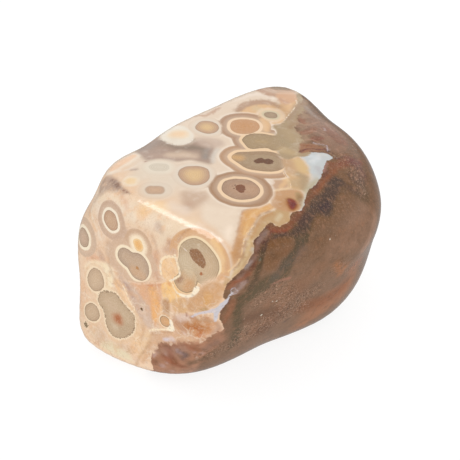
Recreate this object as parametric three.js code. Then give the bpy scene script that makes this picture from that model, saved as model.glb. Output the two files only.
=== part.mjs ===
// Tumbled ocean jasper: one loose pebble, a broken block of banded stone worn round and polished.
// Millimetres, +Z up. The stone lies along +X and stands on its worn underside, at z = 0.
// Origin: the middle of the underside of the stone's bounding box.
import * as THREE from 'three';
import { mergeVertices } from 'three/addons/utils/BufferGeometryUtils.js';

// The broad faces that the tumbling left. Each one looks along its azimuth, in degrees from +X towards +Y,
// and its elevation above level, and lies at its distance in mm from the middle of the stone.
const FACES = [
  { name: 'crown', azimuth: -30, elevation: 85, distance: 9.9 },
  { name: 'banded end', azimuth: 190, elevation: 6, distance: 13.8 },
  { name: 'brown flank', azimuth: -99, elevation: -18, distance: 11.9 },
  { name: 'shoulder over the flank', azimuth: -73, elevation: 42, distance: 14.4 },
  { name: 'far end', azimuth: -22, elevation: 22, distance: 21.9 },
  { name: 'undercut of the far end', azimuth: -48, elevation: -20, distance: 20.0 },
  { name: 'back', azimuth: 91, elevation: -2, distance: 13.0 },
  { name: 'back corner bevel', azimuth: 141, elevation: 30, distance: 18.7 },
  { name: 'lower front bevel', azimuth: 227, elevation: -32, distance: 17.5 },
  { name: 'far top bevel', azimuth: 30, elevation: 30, distance: 30.1 },
  { name: 'low far corner', azimuth: 34, elevation: -28, distance: 22.0 },
  { name: 'lower back bevel', azimuth: 78, elevation: -42, distance: 17.2 },
  { name: 'underside', azimuth: 0, elevation: -90, distance: 14.6 },
];

// Shallow hollows between the faces, and two low swells with negative depths.
// width is the angle, seen from the middle, at which a hollow has faded to a third of its depth in mm.
const HOLLOWS = [
  { name: 'behind the far end', azimuth: 9, elevation: 13, width: 12, depth: 1.1 },
  { name: 'along the back edge', azimuth: 105, elevation: 38, width: 16, depth: 0.7 },
  { name: 'under the flank', azimuth: -97, elevation: -62, width: 18, depth: 0.45 },
  { name: 'under the corner bevel', azimuth: 136, elevation: 24, width: 11, depth: 0.6 },
  { name: 'beside the banded end', azimuth: 144, elevation: -20, width: 17, depth: 1.0 },
  { name: 'swell above it', azimuth: 138, elevation: 14, width: 10, depth: -0.3 },
  { name: 'on the far end', azimuth: -39, elevation: -9, width: 13, depth: 0.95 },
  { name: 'swell below it', azimuth: -43, elevation: -47, width: 11, depth: -0.25 },
];

const EDGE_SHARPNESS = 9;   // how tightly the faces' edges are rounded: higher is sharper
const REST_WEAR = 0.3;      // how much of the underside is worn to a true flat, in mm
const GRID_STEPS = 18;      // steps along each edge of the icosahedron that the surface is drawn on
const GRID_STRETCH = 1.4;   // draws the grid out along the length, so that its triangles stay even

const STONE_COLOUR = 0xbe9b80;
const STONE_ROUGHNESS = 0.12;

const radians = THREE.MathUtils.degToRad;

function direction({ azimuth, elevation }) {
  const level = Math.cos(radians(elevation));
  return new THREE.Vector3(
    level * Math.cos(radians(azimuth)),
    level * Math.sin(radians(azimuth)),
    Math.sin(radians(elevation)),
  );
}

const faces = FACES.map((face) => ({ ...face, normal: direction(face) }));
const hollows = HOLLOWS.map((hollow) => ({ ...hollow, middle: direction(hollow) }));

// Distance from the middle to the surface: where one face leads, its plane, and between faces a round edge.
function surfaceDistance(way) {
  let sum = 0;
  for (const face of faces) {
    sum += Math.max(0, way.dot(face.normal) / face.distance) ** EDGE_SHARPNESS;
  }
  let distance = sum ** (-1 / EDGE_SHARPNESS);
  for (const hollow of hollows) {
    const away = way.angleTo(hollow.middle) / radians(hollow.width);
    distance -= hollow.depth * Math.exp(-(away ** 2));
  }
  return distance;
}

function stoneGeometry() {
  const ball = new THREE.IcosahedronGeometry(1, GRID_STEPS - 1);
  ball.deleteAttribute('normal');
  ball.deleteAttribute('uv');
  const geometry = mergeVertices(ball);
  const points = geometry.attributes.position;
  const underside = faces.find((face) => face.name === 'underside');
  const floor = REST_WEAR - underside.distance;
  const point = new THREE.Vector3();
  for (let i = 0; i < points.count; i++) {
    point.fromBufferAttribute(points, i);
    point.x *= GRID_STRETCH;
    point.normalize();
    point.multiplyScalar(surfaceDistance(point));
    point.z = Math.max(point.z, floor);
    points.setXYZ(i, point.x, point.y, point.z);
  }
  geometry.computeBoundingBox();
  const middle = geometry.boundingBox.getCenter(new THREE.Vector3());
  geometry.translate(-middle.x, -middle.y, -geometry.boundingBox.min.z);
  geometry.computeVertexNormals();
  return geometry;
}

const stone = new THREE.Mesh(
  stoneGeometry(),
  new THREE.MeshStandardMaterial({ color: STONE_COLOUR, roughness: STONE_ROUGHNESS, metalness: 0 }),
);
stone.name = 'tumbled_stone';

const tumbledOceanJasper = new THREE.Group();
tumbledOceanJasper.add(stone);

export default tumbledOceanJasper;
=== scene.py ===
import math

import bmesh
import bpy
import numpy as np
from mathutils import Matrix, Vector, noise
from mathutils.bvhtree import BVHTree


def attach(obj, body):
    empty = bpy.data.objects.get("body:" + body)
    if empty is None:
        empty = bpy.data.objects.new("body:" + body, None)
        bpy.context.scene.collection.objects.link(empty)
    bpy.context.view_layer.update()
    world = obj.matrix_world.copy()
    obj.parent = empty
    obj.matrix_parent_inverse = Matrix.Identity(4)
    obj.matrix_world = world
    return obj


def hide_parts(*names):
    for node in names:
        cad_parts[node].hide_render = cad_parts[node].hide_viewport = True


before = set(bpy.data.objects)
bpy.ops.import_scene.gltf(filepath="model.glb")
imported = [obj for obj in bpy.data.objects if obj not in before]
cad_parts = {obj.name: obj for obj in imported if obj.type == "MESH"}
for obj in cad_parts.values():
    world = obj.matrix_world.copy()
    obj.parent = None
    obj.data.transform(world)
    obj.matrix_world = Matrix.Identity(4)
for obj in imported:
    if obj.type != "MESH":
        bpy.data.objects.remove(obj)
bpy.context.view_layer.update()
MM = 0.001

# The camera
# It looks down on the stone's front left corner with the long lens of a product photograph, from about
# 0.22 m away. It isn't part of the object.
PHOTO_SIDE = 460            # pixels along each side of the photograph
PIXELS_PER_MM = 8.0         # at the stone's middle
LENS = 135.0
SENSOR = 36.0
LOOK_AT = Vector((-3.5, 0.2, 15.1)) * MM
VIEW_AZIMUTH = math.radians(-45)
VIEW_ELEVATION = math.radians(37)
NEAREST_SEEN = 0.01         # metres from the camera
FARTHEST_SEEN = 10

half_picture = SENSOR / 2 / LENS
camera_distance = PHOTO_SIDE / 2 / PIXELS_PER_MM / half_picture * MM
backward = Vector((
    math.sin(VIEW_AZIMUTH) * math.cos(VIEW_ELEVATION),
    -math.cos(VIEW_AZIMUTH) * math.cos(VIEW_ELEVATION),
    math.sin(VIEW_ELEVATION),
))
rightward = Vector((math.cos(VIEW_AZIMUTH), math.sin(VIEW_AZIMUTH), 0))
upward = backward.cross(rightward)

camera_data = bpy.data.cameras.new("camera")
camera_data.lens = LENS
camera_data.sensor_width = SENSOR
camera_data.clip_start = NEAREST_SEEN
camera_data.clip_end = FARTHEST_SEEN
camera = bpy.data.objects.new("camera", camera_data)
camera.location = LOOK_AT + backward * camera_distance
camera.rotation_euler = backward.to_track_quat("Z", "Y").to_euler()
bpy.context.scene.collection.objects.link(camera)
bpy.context.scene.camera = camera

# The pebble's body
# One solid piece of silicified rock, worn to rounded faces in a tumbler and then polished, with nothing
# fixed to it. The faces of the CAD part are rounded off here, and left faintly uneven.
SAME_PLACE = 0.0001         # mm, within which corners of the CAD faces are one corner
SWELL_HEIGHT = 0.05         # mm, how far the polished faces rise and fall
SWELL_WIDTH = 5.0           # mm
SWELL_SINK = 0.3            # how far the swell's middle lies under the cut faces, as a share of its height
ROUNDING_LEVELS = 2
SMOOTHING_ROUNDS = 40
SMOOTHING_SHARE = 0.5       # how far each round moves a point towards the middle of its neighbours
FITTING_ROUNDS = 2          # how often the cage is let out, so that the rounded stone keeps its full size
NOISE_SEED = 3              # fixes the vector noise, which otherwise differs from run to run

noise.seed_set(NOISE_SEED)
rough_cut = bmesh.new()
rough_cut.from_mesh(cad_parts["tumbled_stone"].data)
bmesh.ops.remove_doubles(rough_cut, verts=rough_cut.verts, dist=SAME_PLACE * MM)
cage_mesh = bpy.data.meshes.new("cage")
rough_cut.to_mesh(cage_mesh)
rough_cut.free()
stone = bpy.data.objects.new("polished_stone", cage_mesh)
bpy.context.scene.collection.objects.link(stone)
rounding = stone.modifiers.new("rounding", "SUBSURF")
rounding.levels = ROUNDING_LEVELS
rounding.render_levels = ROUNDING_LEVELS


def places_of(vertices):
    """The places of a mesh's vertices, in mm."""
    places = np.empty(len(vertices) * 3)
    vertices.foreach_get("co", places)
    return places.reshape(-1, 3) / MM


def rounded_stone():
    """The cage rounded to a finer mesh, and its points in mm after light smoothing."""
    mesh = bpy.data.meshes.new_from_object(stone.evaluated_get(bpy.context.evaluated_depsgraph_get()))
    fine = places_of(mesh.vertices)
    edges = np.empty(len(mesh.edges) * 2, int)
    mesh.edges.foreach_get("vertices", edges)
    starts, ends = edges.reshape(-1, 2).T
    total = len(fine)
    neighbours = np.bincount(starts, minlength=total) + np.bincount(ends, minlength=total)
    for _ in range(SMOOTHING_ROUNDS):
        around = np.stack([
            np.bincount(starts, fine[ends, axis], total) + np.bincount(ends, fine[starts, axis], total)
            for axis in range(3)
        ], axis=1)
        fine += SMOOTHING_SHARE * (around / neighbours[:, None] - fine)
    return mesh, fine


cut_points = places_of(cage_mesh.vertices)
cage_points = cut_points.copy()
for _ in range(FITTING_ROUNDS):
    stone_mesh, points = rounded_stone()
    cage_points += cut_points - points[:len(cut_points)]
    cage_mesh.vertices.foreach_set("co", (cage_points * MM).ravel())
    cage_mesh.update()
    bpy.data.meshes.remove(stone_mesh)
stone_mesh, points = rounded_stone()
stone_mesh.name = "polished_stone"
stone.modifiers.clear()
stone.data = stone_mesh
bpy.data.meshes.remove(cage_mesh)
count = len(points)


def noise_at(places, width, seed):
    """Smooth noise from -1 to 1 in each of three directions, with lumps about width mm across.
    Each seed reads another part of the noise."""
    shift = Vector((seed * 17.3, seed * 5.1, seed * 9.7))
    return np.array([noise.noise_vector(Vector(p) / width + shift) for p in places])


def store_points():
    """Puts the points into the mesh, and gives the surface's direction at each."""
    stone_mesh.vertices.foreach_set("co", (points * MM).ravel())
    stone_mesh.update()
    normals = np.empty(count * 3)
    stone_mesh.vertex_normals.foreach_get("vector", normals)
    return normals.reshape(-1, 3)


normals = store_points()
points += normals * (noise_at(points, SWELL_WIDTH, 1)[:, :1] - SWELL_SINK) * SWELL_HEIGHT
points[:, 2] = np.maximum(points[:, 2], 0)
normals = store_points()
for face in stone_mesh.polygons:
    face.use_smooth = True

# The border between the banded stone and the brown stone
# Silica filled a cavity in the brown rock, so the banded part ends in one crooked surface, traced where the
# photograph shows it and closed by a wavering cut through the hidden part of the stone. Like every marking
# it is placed by the pixels of the 460 x 460 photograph where it shows, and widths are in mm.
BORDER = [
    (301, 96), (303, 100), (301, 104), (304, 109), (300, 114), (297, 118), (299, 123), (295, 128),
    (299, 132), (301, 137), (303, 141), (300, 145), (301, 149), (299, 152.5), (306, 151.5), (314, 152.5),
    (322, 152.5), (327, 154), (331, 156), (333, 158.5), (327.5, 160.5), (325, 165), (323.5, 169),
    (321.5, 175), (318, 181), (313, 187), (308, 190.5), (306, 196), (304.5, 203), (302, 209.5),
    (296, 211.5), (291, 214), (290, 219), (288, 223), (283, 224.5), (278, 227), (273, 223.5),
    (269.5, 222.5), (266, 226), (262, 231), (258.5, 236), (254, 240), (253.5, 245), (254.5, 249),
    (253, 254), (250, 257.5), (248, 262), (244.5, 267), (241, 271), (236, 275), (232, 279), (227, 284),
    (224.5, 291), (223, 297), (227, 301), (225, 305), (221, 310), (219.5, 315), (220, 320), (223, 325),
    (224, 330), (217, 332), (211, 336), (204, 341), (196, 343), (188, 342), (180, 342), (172, 344),
    (163, 342.5), (158, 345), (156, 350), (152, 354), (151, 361), (154, 370),
]
ON_CROWN = (200, 180)       # a pixel well inside the banded part
HIDDEN_STEPS = 90
WAVER = 0.28                # how far the hidden part of the border strays, as a slope
SLOW_WAVE = 2.2             # lumps of noise to each radian round the stone
FAST_WAVE = 8
FAST_SHARE = 0.45           # the fast wave's height against the slow one's
CUT_HALF = 0.4              # mm, half the thickness of the slice whose middle the cut turns round
BEYOND = 60                 # mm from that middle, well outside the stone
CURVE_STEP = 2.0            # pixels between the points of a traced curve
MOST_DRAWS = 60
DRAW_SHARE = 0.005          # how far, of the way to the middle, each draw brings a pixel beside the stone
MARGIN = 4.0                # mm round a form beyond which its distance isn't worked out exactly
WARP_WIDTH = 1.2            # mm
WARP_REACH = 0.10           # mm, how far round forms are pushed out of true
GRIT_WIDTH = 0.7            # mm
GRIT_REACH = 0.07           # mm, how far the edges of stains wander

surface = BVHTree.FromPolygons([Vector(p) for p in points], [tuple(f.vertices) for f in stone_mesh.polygons])
eye = np.array(camera.location) / MM


def on_stone(x, y):
    """The point of the stone, in mm, that shows at a pixel; one beside the stone is drawn in to its edge."""
    for _ in range(MOST_DRAWS):
        across = (x - PHOTO_SIDE / 2) / (PHOTO_SIDE / 2) * half_picture
        rise = (PHOTO_SIDE / 2 - y) / (PHOTO_SIDE / 2) * half_picture
        way = (rightward * across + upward * rise - backward).normalized()
        hit = surface.ray_cast(Vector(eye), way)[0]
        if hit is not None:
            return np.array(hit)
        x += (PHOTO_SIDE / 2 - x) * DRAW_SHARE
        y += (PHOTO_SIDE / 2 - y) * DRAW_SHARE


def curve(pixels, closed=False):
    """A smooth curve through the pixels, as closely spaced pixels."""
    knots = [np.array(p, float) for p in pixels]
    if closed:
        knots = [knots[-1]] + knots + knots[:2]
    else:
        knots = [2 * knots[0] - knots[1]] + knots + [2 * knots[-1] - knots[-2]]
    smooth = []
    for a, b, c, d in zip(knots, knots[1:], knots[2:], knots[3:]):
        steps = max(1, round(np.linalg.norm(c - b) / CURVE_STEP))
        for k in range(steps):
            t = k / steps
            smooth.append(0.5 * (2 * b + (c - a) * t + (2 * a - 5 * b + 4 * c - d) * t ** 2
                                 + (3 * b - a - 3 * c + d) * t ** 3))
    if not closed:
        smooth.append(knots[-2])
    return smooth


traced = [on_stone(x, y) for x, y in curve(BORDER)]
cut_middle = np.mean(traced, axis=0)
cut_way = np.linalg.svd(np.array(traced) - cut_middle)[2][2]
if cut_way @ (on_stone(*ON_CROWN) - cut_middle) < 0:
    cut_way = -cut_way
in_cut = np.abs((points - cut_middle) @ cut_way) < CUT_HALF
cut_middle = points[in_cut].mean(0)
cut_side = traced[0] - cut_middle
cut_side -= cut_side @ cut_way * cut_way
cut_side /= np.linalg.norm(cut_side)
cut_up = np.cross(cut_way, cut_side)


def round_cut(places):
    """Each place's turn round the cut's axis, and its slope out of the cut towards the banded stone."""
    away = np.atleast_2d(places) - cut_middle
    turn = np.arctan2(away @ cut_up, away @ cut_side)
    flat = np.hypot(away @ cut_up, away @ cut_side)
    return turn, np.arctan2(away @ cut_way, flat)


turns, slopes = round_cut(traced)
turns = np.unwrap(turns)
full_turn = math.copysign(2 * math.pi, turns[-1] - turns[0])
ring = list(traced)
for k in range(1, HIDDEN_STEPS):
    share = k / HIDDEN_STEPS
    turn = turns[-1] + (turns[0] + full_turn - turns[-1]) * share
    slope = slopes[-1] + (slopes[0] - slopes[-1]) * share
    fade = math.sin(math.pi * share) ** 0.5
    wave = noise.noise(Vector((turn * SLOW_WAVE, 0, 4)))
    wave += FAST_SHARE * noise.noise(Vector((turn * FAST_WAVE, 3, 0)))
    slope += WAVER * fade * wave
    way = (cut_side * math.cos(turn) + cut_up * math.sin(turn)) * math.cos(slope) + cut_way * math.sin(slope)
    ring.append(np.array(surface.ray_cast(Vector(cut_middle + way * BEYOND), Vector(-way))[0]))


def unrolled(places):
    """The stone's surface laid flat round the banded stone's middle, for telling the two sides apart."""
    turn, slope = round_cut(places)
    far = math.pi / 2 - slope
    return np.stack([far * np.cos(turn), far * np.sin(turn)], 1)


def inside_outline(outline, across, down):
    inside = np.zeros(len(across), bool)
    for (x0, y0), (x1, y1) in zip(outline, outline[1:] + outline[:1]):
        if y0 != y1:
            inside ^= ((y0 > down) != (y1 > down)) & (across < x0 + (down - y0) * (x1 - x0) / (y1 - y0))
    return inside


flat_ring = [tuple(p) for p in unrolled(ring)]
flat_points = unrolled(points)
banded = inside_outline(flat_ring, flat_points[:, 0], flat_points[:, 1])
border = np.full(count, 1e9)
for a, b in zip(ring, ring[1:] + ring[:1]):
    run = b - a
    share = np.clip((points - a) @ run / max(run @ run, 1e-9), 0, 1)
    border = np.minimum(border, ((points - a - share[:, None] * run) ** 2).sum(1))
border = np.where(banded, 1, -1) * np.sqrt(border)

# A marking is a form inside the stone that the polished surface cuts through. The surface is warped a little
# before it is measured, so that round forms aren't quite true.
warped = points + noise_at(points, WARP_WIDTH, 2) * WARP_REACH
grit = noise_at(points, GRIT_WIDTH, 3)[:, 0] * GRIT_REACH


def anchor(x, y):
    """on_stone, moved as the warp moves the surface there, so that a warped form keeps its place."""
    place = on_stone(x, y)
    return place + noise_at([place], WARP_WIDTH, 2)[0] * WARP_REACH


def chain_distance(knots, at=warped):
    """mm from each vertex to a chain of balls joined by cones; each knot is a centre in mm and a radius."""
    centres = np.array([knot[0] for knot in knots])
    radii = np.array([knot[1] for knot in knots], float)
    middle = centres.mean(0)
    reach = np.linalg.norm(centres - middle, axis=1).max() + radii.max()
    distance = np.linalg.norm(at - middle, axis=1) - reach
    near = np.where(distance < MARGIN)[0]
    here = at[near]
    best = np.linalg.norm(here - centres[0], axis=1) - radii[0]
    for a, b, ra, rb in zip(centres, centres[1:], radii, radii[1:]):
        run = b - a
        share = np.clip((here - a) @ run / max(run @ run, 1e-9), 0, 1)
        away = np.linalg.norm(here - a - share[:, None] * run, axis=1)
        best = np.minimum(best, away - (ra + share * (rb - ra)))
    distance[near] = best
    return distance


def blob(*spots):
    """Distance to balls joined by cones; each spot is a pixel x, y and a radius in mm."""
    return chain_distance([(anchor(x, y), radius) for x, y, radius in spots])


def smooth_step(low, high, value):
    share = np.clip((value - low) / (high - low), 0, 1)
    return share * share * (3 - 2 * share)


# Beyond the crown and along the lower border the two parts run into each other. There the distance to the
# border is made less, which widens the strip where the material's grain mixes them.
blended = blob((300, 96, 0.6), (302, 110, 1.0), (300, 124, 1.2), (302, 138, 1.1), (301, 146, 0.5))
border *= 1 - 0.6 * smooth_step(0.4, -0.4, blended)
mottled = blob((154, 352, 0.6), (160, 345, 0.7), (175, 343, 0.7), (190, 343, 0.7), (205, 340, 0.6),
               (217, 332, 0.5))
border *= 1 - 0.72 * smooth_step(0.4, -0.4, mottled)
border += 0.5 * grit * smooth_step(0.4, -0.4, mottled)

# The ground of the two parts
# One part is milky chalcedony, warmer and more stained by iron on the banded end. The other is brown rock
# mottled by iron, with darker green-grey trails. Both are one body of stone, so all of this is colour only.
END_STARTS = -10.0          # mm along the stone, from where the ground warms towards the banded end
END_FULL = -15.5

sight = eye - points
sight_length = np.linalg.norm(sight, axis=1)
facing = (normals * sight).sum(1) / sight_length
seen_depth = sight @ np.array(backward)
seen_x = PHOTO_SIDE / 2 * (1 - (sight @ np.array(rightward)) / seen_depth / half_picture)
seen_y = PHOTO_SIDE / 2 * (1 + (sight @ np.array(upward)) / seen_depth / half_picture)


def shown(red, green, blue):
    """A 0 to 255 colour as light-linear values."""
    share = np.array([red, green, blue]) / 255
    return np.where(share <= 0.04045, share / 12.92, ((share + 0.055) / 1.055) ** 2.4)


def line(width, *pixels):
    """Distance to a thin seam, width mm wide, that runs through the pixels."""
    return chain_distance([(on_stone(x, y), width / 2) for x, y in curve(pixels)], points)


def area(*pixels):
    """Distance to the closed curve through the pixels, negative inside it."""
    outline = curve(pixels, closed=True)
    rim = [on_stone(x, y) for x, y in outline]
    away = chain_distance([(place, 0) for place in rim + rim[:1]], points)
    inside = inside_outline(outline, seen_x, seen_y) & (facing > 0)
    return np.where(inside, -np.abs(away), np.abs(away))


# the colour of the banded part and of the brown part, at each vertex
ground = np.tile(shown(232, 213, 193), (count, 1))
flank = np.tile(shown(131, 104, 85), (count, 1))
both = (ground, flank)


def stain(distance, colour, soft=0.5, strength=1.0, onto=(ground,), rough=1.0):
    """Lays a colour over a form, fading over soft mm at its edge. rough is how far the edge wanders."""
    share = strength * smooth_step(soft / 2, -soft / 2, distance + rough * grit)[:, None]
    for layer in onto:
        layer += share * (shown(*colour) - layer)


# broad washes: the banded end, then soft clouds on the hidden sides
banded_end = smooth_step(END_STARTS, END_FULL, points[:, 0])[:, None]
ground += 0.85 * banded_end * (shown(238, 205, 174) - ground)
hidden_side = smooth_step(0.15, -0.1, facing)
clouds = noise_at(points, 5.0, 6)
for axis, colour in ((0, (240, 222, 202)), (1, (222, 190, 165)), (2, (205, 182, 160))):
    share = 0.55 * (smooth_step(0.1, 0.6, clouds[:, axis]) * hidden_side)[:, None]
    ground += share * (shown(*colour) - ground)
clouds = noise_at(points, 6.0, 7) + 0.35 * noise_at(points, 1.5, 8)
for axis, colour in ((0, (150, 108, 82)), (1, (98, 86, 69)), (2, (146, 118, 100))):
    share = 0.85 * (smooth_step(0.12, 0.5, clouds[:, axis]) * hidden_side)[:, None]
    flank += share * (shown(*colour) - flank)

# the ridge between the crown and the banded end, and the crown's left part
stain(blob((98, 200, 1.3), (118, 205, 1.3), (135, 212, 1.5), (152, 218, 1.2), (168, 226, 1.3),
           (182, 226, 1.0), (190, 225, 0.7)), (247, 226, 199), 2.2, 0.9)
stain(blob((165, 237, 0.8), (158, 243, 0.6)), (240, 218, 192), 1.2, 0.9)
stain(blob((141, 176, 1.3), (150, 166, 1.3), (160, 190, 1.3), (170, 180, 1.2)), (230, 216, 198), 2.0, 0.8)
stain(area((205, 206), (222, 208), (237, 210), (236, 225), (233, 243), (226, 243), (217, 230), (203, 219)),
      (238, 220, 200), 1.0)
stain(blob((228, 237, 0.35), (230, 228, 0.3)), (252, 235, 216), 1.0, 0.8)
stain(area((141, 157), (136, 153), (146, 144), (157, 136), (162, 140), (170, 144.5), (180, 146.5),
           (190, 144.5), (196, 140), (209, 142), (215, 148), (212.5, 157), (211, 164), (200, 162),
           (190, 160), (176, 161.5), (160, 159), (148, 161)), (178, 156, 142), 0.8, rough=0.2)
stain(blob((140, 150, 0.6), (149, 147, 0.8), (158, 142, 0.7)), (162, 147, 137), 1.4, 0.8, rough=0)
stain(blob((152, 156, 0.45), (164, 155.5, 0.4)), (190, 165, 149), 1.0, 0.7, rough=0)
stain(blob((164, 145, 0.2), (180, 148, 0.3), (192, 147.5, 0.5), (202, 149, 0.4), (206, 157, 0.3)),
      (148, 134, 121), 1.2, 0.9, rough=0)
stain(blob((170, 155, 0.6), (182, 154.5, 0.8), (194, 156.5, 0.5)), (216, 193, 172), 1.3, 0.95, rough=0)
stain(blob((205, 158, 0.3), (206, 151, 0.3), (210, 147, 0.2)), (168, 159, 152), 0.9, 0.8, rough=0)
stain(blob((213, 162, 0.25), (214, 155, 0.35), (218, 149, 0.3)), (214, 206, 196), 0.8, 0.8, rough=0)
stain(area((196, 138), (208, 137.5), (221, 140), (224, 145), (213, 148), (200, 145)),
      (206, 185, 170), 1.0, 0.8, rough=0)
stain(area((160, 138), (166, 142), (178, 144.8), (188, 143), (194, 137), (190, 130), (180, 125.5),
           (166, 130)), (238, 230, 216), 0.3, 0.95, rough=0.5)
stain(blob((174, 134.3, 0.95), (181, 134, 1.0)), (241, 226, 202), 0.8, 0.9, rough=0.5)
stain(blob((174.5, 134.3, 0.6), (181, 134, 0.7)), (245, 215, 182), 1.3, rough=0.5)
stain(line(0.12, (161, 140.5), (166, 143.5), (172, 145.6), (179, 146.4), (186, 145.4), (192, 142),
           (195, 138.5)), (150, 138, 128), 0.4, 0.7, rough=0)
stain(area((182, 192), (205, 192), (208, 198), (200, 205), (191, 210.5), (184, 207)),
      (207, 181, 160), 1.2, 0.9, rough=0)
stain(blob((189, 204, 0.5)), (203, 172, 151), 1.2, 0.7, rough=0)
stain(blob((165, 206, 0.5), (158, 203, 0.4)), (247, 213, 172), 1.2, 0.9)
stain(blob((150, 206, 0.7), (166, 208, 0.5)), (249, 220, 182), 1.2, 0.8)
stain(blob((142.5, 211.5, 1.05)), (249, 219, 180), 0.9, 0.9)
stain(blob((143.5, 211.5, 0.65)), (249, 204, 150), 0.8, 0.95)
stain(blob((131, 181, 1.05)), (243, 230, 210), 0.5, 0.9)
stain(blob((131, 181, 0.7)), (242, 213, 172), 0.7, 0.95)
stain(blob((112, 170, 0.9), (123, 162, 1.1), (134, 156, 0.8)), (243, 230, 212), 0.6, 0.9)
stain(blob((113, 168.5, 0.65), (123, 161.5, 0.75), (133, 156, 0.5)), (240, 203, 172), 0.5, 0.95)
stain(line(0.2, (112, 173), (122, 171), (133, 167.5), (141, 162)), (236, 222, 206), 0.35, 0.9, rough=0)
stain(blob((136, 169, 0.22), (131.5, 170, 0.12)), (168, 151, 146), 0.5, 0.85, rough=0)
stain(blob((145.5, 161.5, 0.17)), (148, 96, 90), 0.3, 0.95, rough=0)
stain(area((99, 190), (103, 180), (109, 175.5), (116, 179), (121, 186), (127, 191), (124, 195), (115, 192),
           (107, 191), (100, 196)), (184, 160, 144), 0.7, 0.9, rough=0.5)
stain(blob((112.5, 181, 0.4), (116.5, 184.5, 0.45), (120.5, 188, 0.2)),
      (143, 118, 107), 0.6, 0.9, rough=0.8)
stain(blob((123, 190, 0.15), (127.5, 192.5, 0.2), (131, 194.5, 0.1)), (160, 126, 110), 0.3, 0.9, rough=0.8)
stain(blob((98, 196, 0.35), (93, 204, 0.3), (89, 214, 0.25)), (208, 186, 168), 0.8, 0.8, rough=0)
stain(blob((122, 197, 0.3), (126, 203, 0.35), (127, 209, 0.2)), (232, 192, 164), 0.8, 0.85, rough=0)
stain(blob((160, 228, 0.4), (157, 224, 0.3)), (205, 180, 160), 0.9, 0.7)

# the crown, far part
stain(blob((196, 116, 0.22), (206, 115.5, 0.3), (213, 112, 0.33), (219, 108, 0.28)),
      (200, 166, 143), 0.3, 0.9)
stain(area((239, 112), (246, 106), (256, 104), (268, 104), (277, 106), (283, 102), (292, 98), (297, 103),
           (293, 110), (287, 117), (281, 123), (270, 125), (270, 131), (274, 135), (262, 135), (256, 130),
           (260, 124), (258, 119), (246, 117)), (227, 189, 148), 0.4)
stain(blob((256, 108.5, 0.6), (263, 111.5, 0.5)), (218, 200, 168), 0.9, 0.6)
stain(blob((237.5, 111, 0.45), (243, 106, 0.6), (250, 103, 0.62), (258, 102, 0.62), (266, 102.3, 0.6),
           (273, 104, 0.5), (279, 107, 0.35)), (188, 157, 134), 0.4, 0.95, rough=0.4)
stain(blob((236, 101, 0.3), (249, 95, 0.45), (262, 94.5, 0.42), (273, 98.5, 0.35)),
      (238, 222, 206), 0.4, 0.9)
stain(blob((259, 89, 0.4), (265, 93.5, 0.42), (272, 95.5, 0.4), (280, 96, 0.35)),
      (202, 163, 140), 0.35, 0.95)
stain(area((258, 91), (264, 85), (275, 80), (288, 82), (294, 90), (288, 96), (276, 97), (266, 95)),
      (192, 158, 134), 0.4, 0.9)
stain(area((276, 94), (286, 92), (295, 92), (298, 99), (292, 103), (286, 104), (280, 103)),
      (218, 176, 144), 0.4, 0.95)
stain(blob((281, 100, 0.35), (287, 103, 0.25)), (200, 162, 138), 0.5, 0.8)

# round the right-hand eyes, and the gold zone that follows the border
stain(area((262, 178), (283, 172), (288, 180), (290, 188), (276, 190), (268, 196), (268, 203), (262, 206),
           (250, 207), (257, 200), (263, 192)), (206, 173, 146), 0.7)
stain(blob((282, 176, 0.3), (286, 182, 0.35), (281, 187, 0.25)), (232, 194, 150), 0.5, 0.8)
stain(area((264, 178), (270, 178), (275, 182), (273, 184.5), (268, 183)), (233, 215, 198), 0.25, 0.95)
stain(line(0.3, (284, 175), (288, 180), (289.5, 185), (288, 188.5), (280, 189.5), (273, 192), (269.8, 197),
           (269.8, 203), (273, 208), (266, 210), (259.5, 213.5), (256, 219)),
      (241, 211, 170), 0.5, rough=0.5)
stain(area((250, 208), (262, 205), (269, 203), (274, 208), (266, 211.5), (259, 215), (256, 220), (252, 227),
           (247, 234), (243.5, 242), (242, 252), (239, 260), (231, 269), (222, 279), (218, 283), (219, 276),
           (223, 266), (225, 255), (233, 250), (235, 243), (237, 235), (239.5, 225), (241, 214),
           (245, 210)), (216, 172, 130), 0.3)
stain(area((244, 215), (250, 210), (262, 206), (269, 203.5), (272.5, 208), (263, 211.5), (257.5, 216),
           (253.5, 224), (248, 231), (244.5, 238), (242.5, 230)), (226, 178, 124), 0.5, 0.9)
stain(line(0.2, (250, 208.5), (244, 210), (241.5, 214), (240.5, 220), (238.5, 228), (236.5, 236),
           (234.5, 244), (233, 249)), (190, 150, 122), 0.3, 0.6)
stain(area((271, 212), (279, 208), (286, 210), (290, 213), (291, 221), (284, 225), (279, 228), (273, 224),
           (268, 225), (262, 232), (257, 238), (254, 241), (255, 250), (250, 258), (245, 267), (238, 274),
           (230, 281), (224, 290), (221, 287), (227, 278), (235, 270), (241, 262), (244, 256), (245, 248),
           (248, 239), (252, 232), (256, 225), (260, 217)), (201, 169, 130), 0.3)
stain(blob((256, 228, 0.25), (250, 240, 0.25), (247, 252, 0.25), (240, 265, 0.25), (230, 277, 0.2)),
      (222, 196, 156), 0.3, 0.8, rough=2)
stain(blob((277, 220, 0.3), (281, 215, 0.3)), (216, 196, 164), 0.5, 0.9)
stain(line(0.4, (272, 213.5), (267, 215.5), (262, 219), (258, 224.5), (255, 231), (251, 238)),
      (196, 154, 114), 0.5, 0.85)
stain(line(0.1, (266, 205.5), (257, 208), (250, 211.5), (246, 217), (244, 225), (241, 233), (238.5, 242),
           (237, 251), (233, 259), (227, 267)), (204, 156, 108), 0.2, 0.6)
stain(line(0.12, (268, 208), (259, 210.5), (252.5, 214), (249, 220), (246.5, 228), (243, 235)),
      (240, 204, 150), 0.2, 0.7)
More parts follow.
